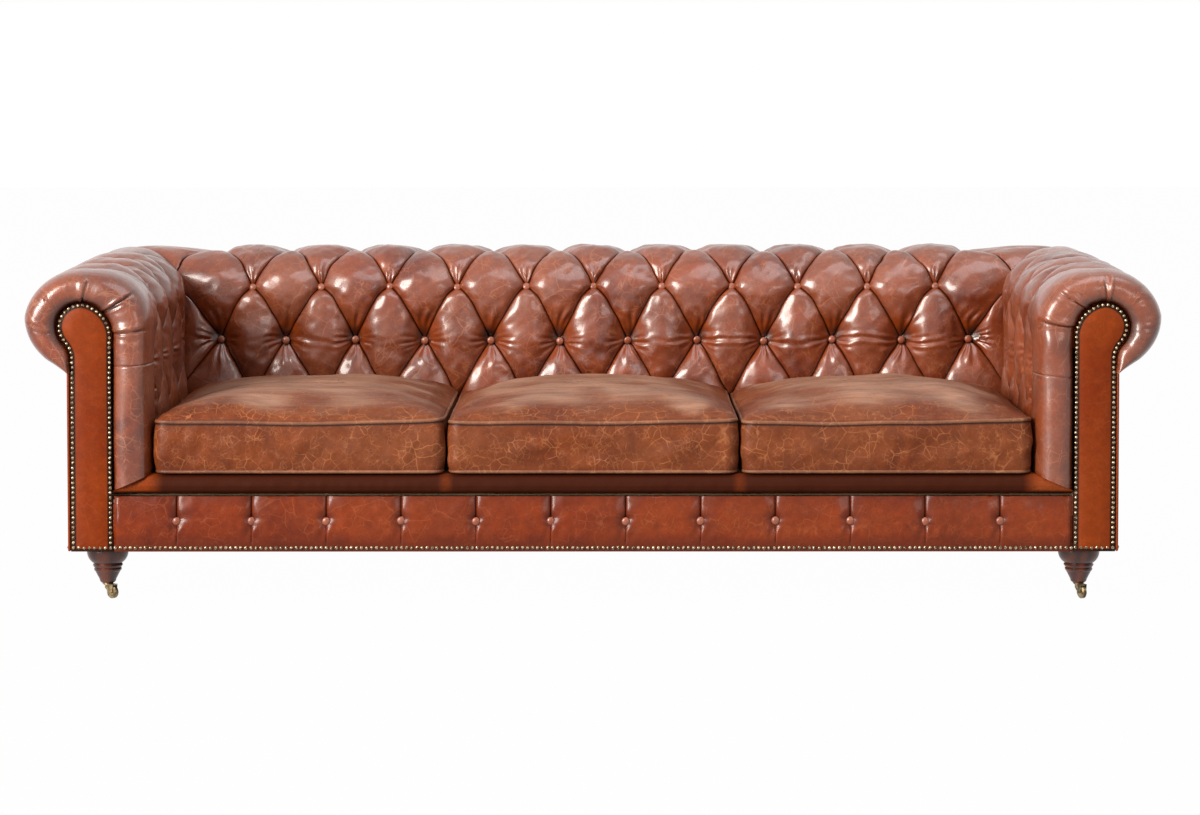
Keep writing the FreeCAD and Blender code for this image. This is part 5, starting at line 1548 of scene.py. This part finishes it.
def floor():
    """A pale floor that keeps only a light shadow of the sofa."""
    deselect()
    bpy.ops.mesh.primitive_plane_add(size=60)
    piece = added("floor")
    made, nodes, links = material("pale_floor")
    shader = nodes["Principled BSDF"]
    shader.inputs["Base Color"].default_value = (0.30, 0.30, 0.30, 1)
    shader.inputs["Roughness"].default_value = 0.9
    shader.inputs["Specular IOR Level"].default_value = 0.1
    white = nodes.new("ShaderNodeEmission")
    path = nodes.new("ShaderNodeLightPath")
    seen = sums(nodes, links, "MULTIPLY", seen_directly(nodes, links, path), 0.985)
    blend = nodes.new("ShaderNodeMixShader")
    links.new(seen, blend.inputs[0])
    links.new(shader.outputs[0], blend.inputs[1])
    links.new(white.outputs[0], blend.inputs[2])
    links.new(blend.outputs[0], nodes["Material Output"].inputs["Surface"])
    piece.data.materials.append(made)


def world():
    made = bpy.data.worlds.new("studio")
    bpy.context.scene.world = made
    made.use_nodes = True
    nodes, links = made.node_tree.nodes, made.node_tree.links
    back = nodes["Background"]
    back.inputs["Color"].default_value = (0.95, 0.96, 1.0, 1)
    back.inputs["Strength"].default_value = 0.22
    white = nodes.new("ShaderNodeBackground")
    white.inputs["Color"].default_value = (1, 1, 1, 1)
    path = nodes.new("ShaderNodeLightPath")
    blend = nodes.new("ShaderNodeMixShader")
    links.new(seen_directly(nodes, links, path), blend.inputs[0])
    links.new(back.outputs[0], blend.inputs[1])
    links.new(white.outputs[0], blend.inputs[2])
    links.new(blend.outputs[0], nodes["World Output"].inputs["Surface"])


def lamp(name, spot, aim, width, height, power, tint=(1, 1, 1)):
    deselect()
    bpy.ops.object.light_add(type="AREA", location=spot)
    light = bpy.context.object
    light.name = name
    light.data.shape = "RECTANGLE"
    light.data.size = width
    light.data.size_y = height
    light.data.energy = power
    light.data.color = tint
    light.visible_camera = False
    light.rotation_euler = (Vector(aim) - Vector(spot)).to_track_quat("-Z", "Y").to_euler()


def lamps():
    lamp("key", (-8.2, -9.0, 5.7), (0, 0, 0.45), 5.2, 5.8, 2250, (1.0, 0.95, 0.88))
    lamp("low key", (-8.6, -8.4, 2.3), (0, 0, 0.45), 3.2, 2.6, 620, (1.0, 0.95, 0.88))
    lamp("fill", (4.2, -7.4, 2.6), (0, 0, 0.4), 3.0, 2.0, 80, (1.0, 0.97, 0.94))
    lamp("overhead", (1.2, -1.2, 4.4), (0, 0, 0.5), 5.0, 1.8, 100, (0.94, 0.96, 1.0))


# The place and turn in degrees of the photograph's camera, and its lens in pixels of a picture this wide
CAMERA_SPOT, CAMERA_TURN = (0.0273, -7.3647, 1.0988), (90 - 2.68, 0.03, 0.0966)
LENS_PIXELS, PICTURE_PIXELS = 3223, 1200
SENSOR_WIDTH = 36


def camera():
    """Stands where the photograph was taken from."""
    deselect()
    bpy.ops.object.camera_add(location=CAMERA_SPOT)
    eye = bpy.context.object
    eye.rotation_euler = [math.radians(angle) for angle in CAMERA_TURN]
    eye.data.sensor_width = SENSOR_WIDTH
    eye.data.lens = LENS_PIXELS / PICTURE_PIXELS * SENSOR_WIDTH
    eye.data.shift_y = -0.137
    bpy.context.scene.camera = eye


def main():
    finish_nodes()
    piece = back_hide()
    dress(piece, "sofa", "leather_tufted", tufted_leather, "back_cover")
    for name, side in SIDES.items():
        piece = arm_hide(f"arm_hide_{name}", side)
        dress(piece, "sofa", "leather_tufted", tufted_leather, f"arm_cover_{name}")
        piece = facing_pad(f"facing_pad_{name}", side)
        dress(piece, "sofa", "leather_smooth", facing_leather, f"arm_facing_{name}")
    buttons()
    piece = border_pad()
    dress(piece, "sofa", "leather_smooth", border_leather, "front_border")
    piece = lip_pad()
    dress(piece, "sofa", "leather_smooth", lip_leather, "seat_lip")
    outside_panels()
    nails()
    cushions()
    floor()
    world()
    lamps()
    camera()
    bpy.context.scene.view_settings.view_transform = "Standard"


main()
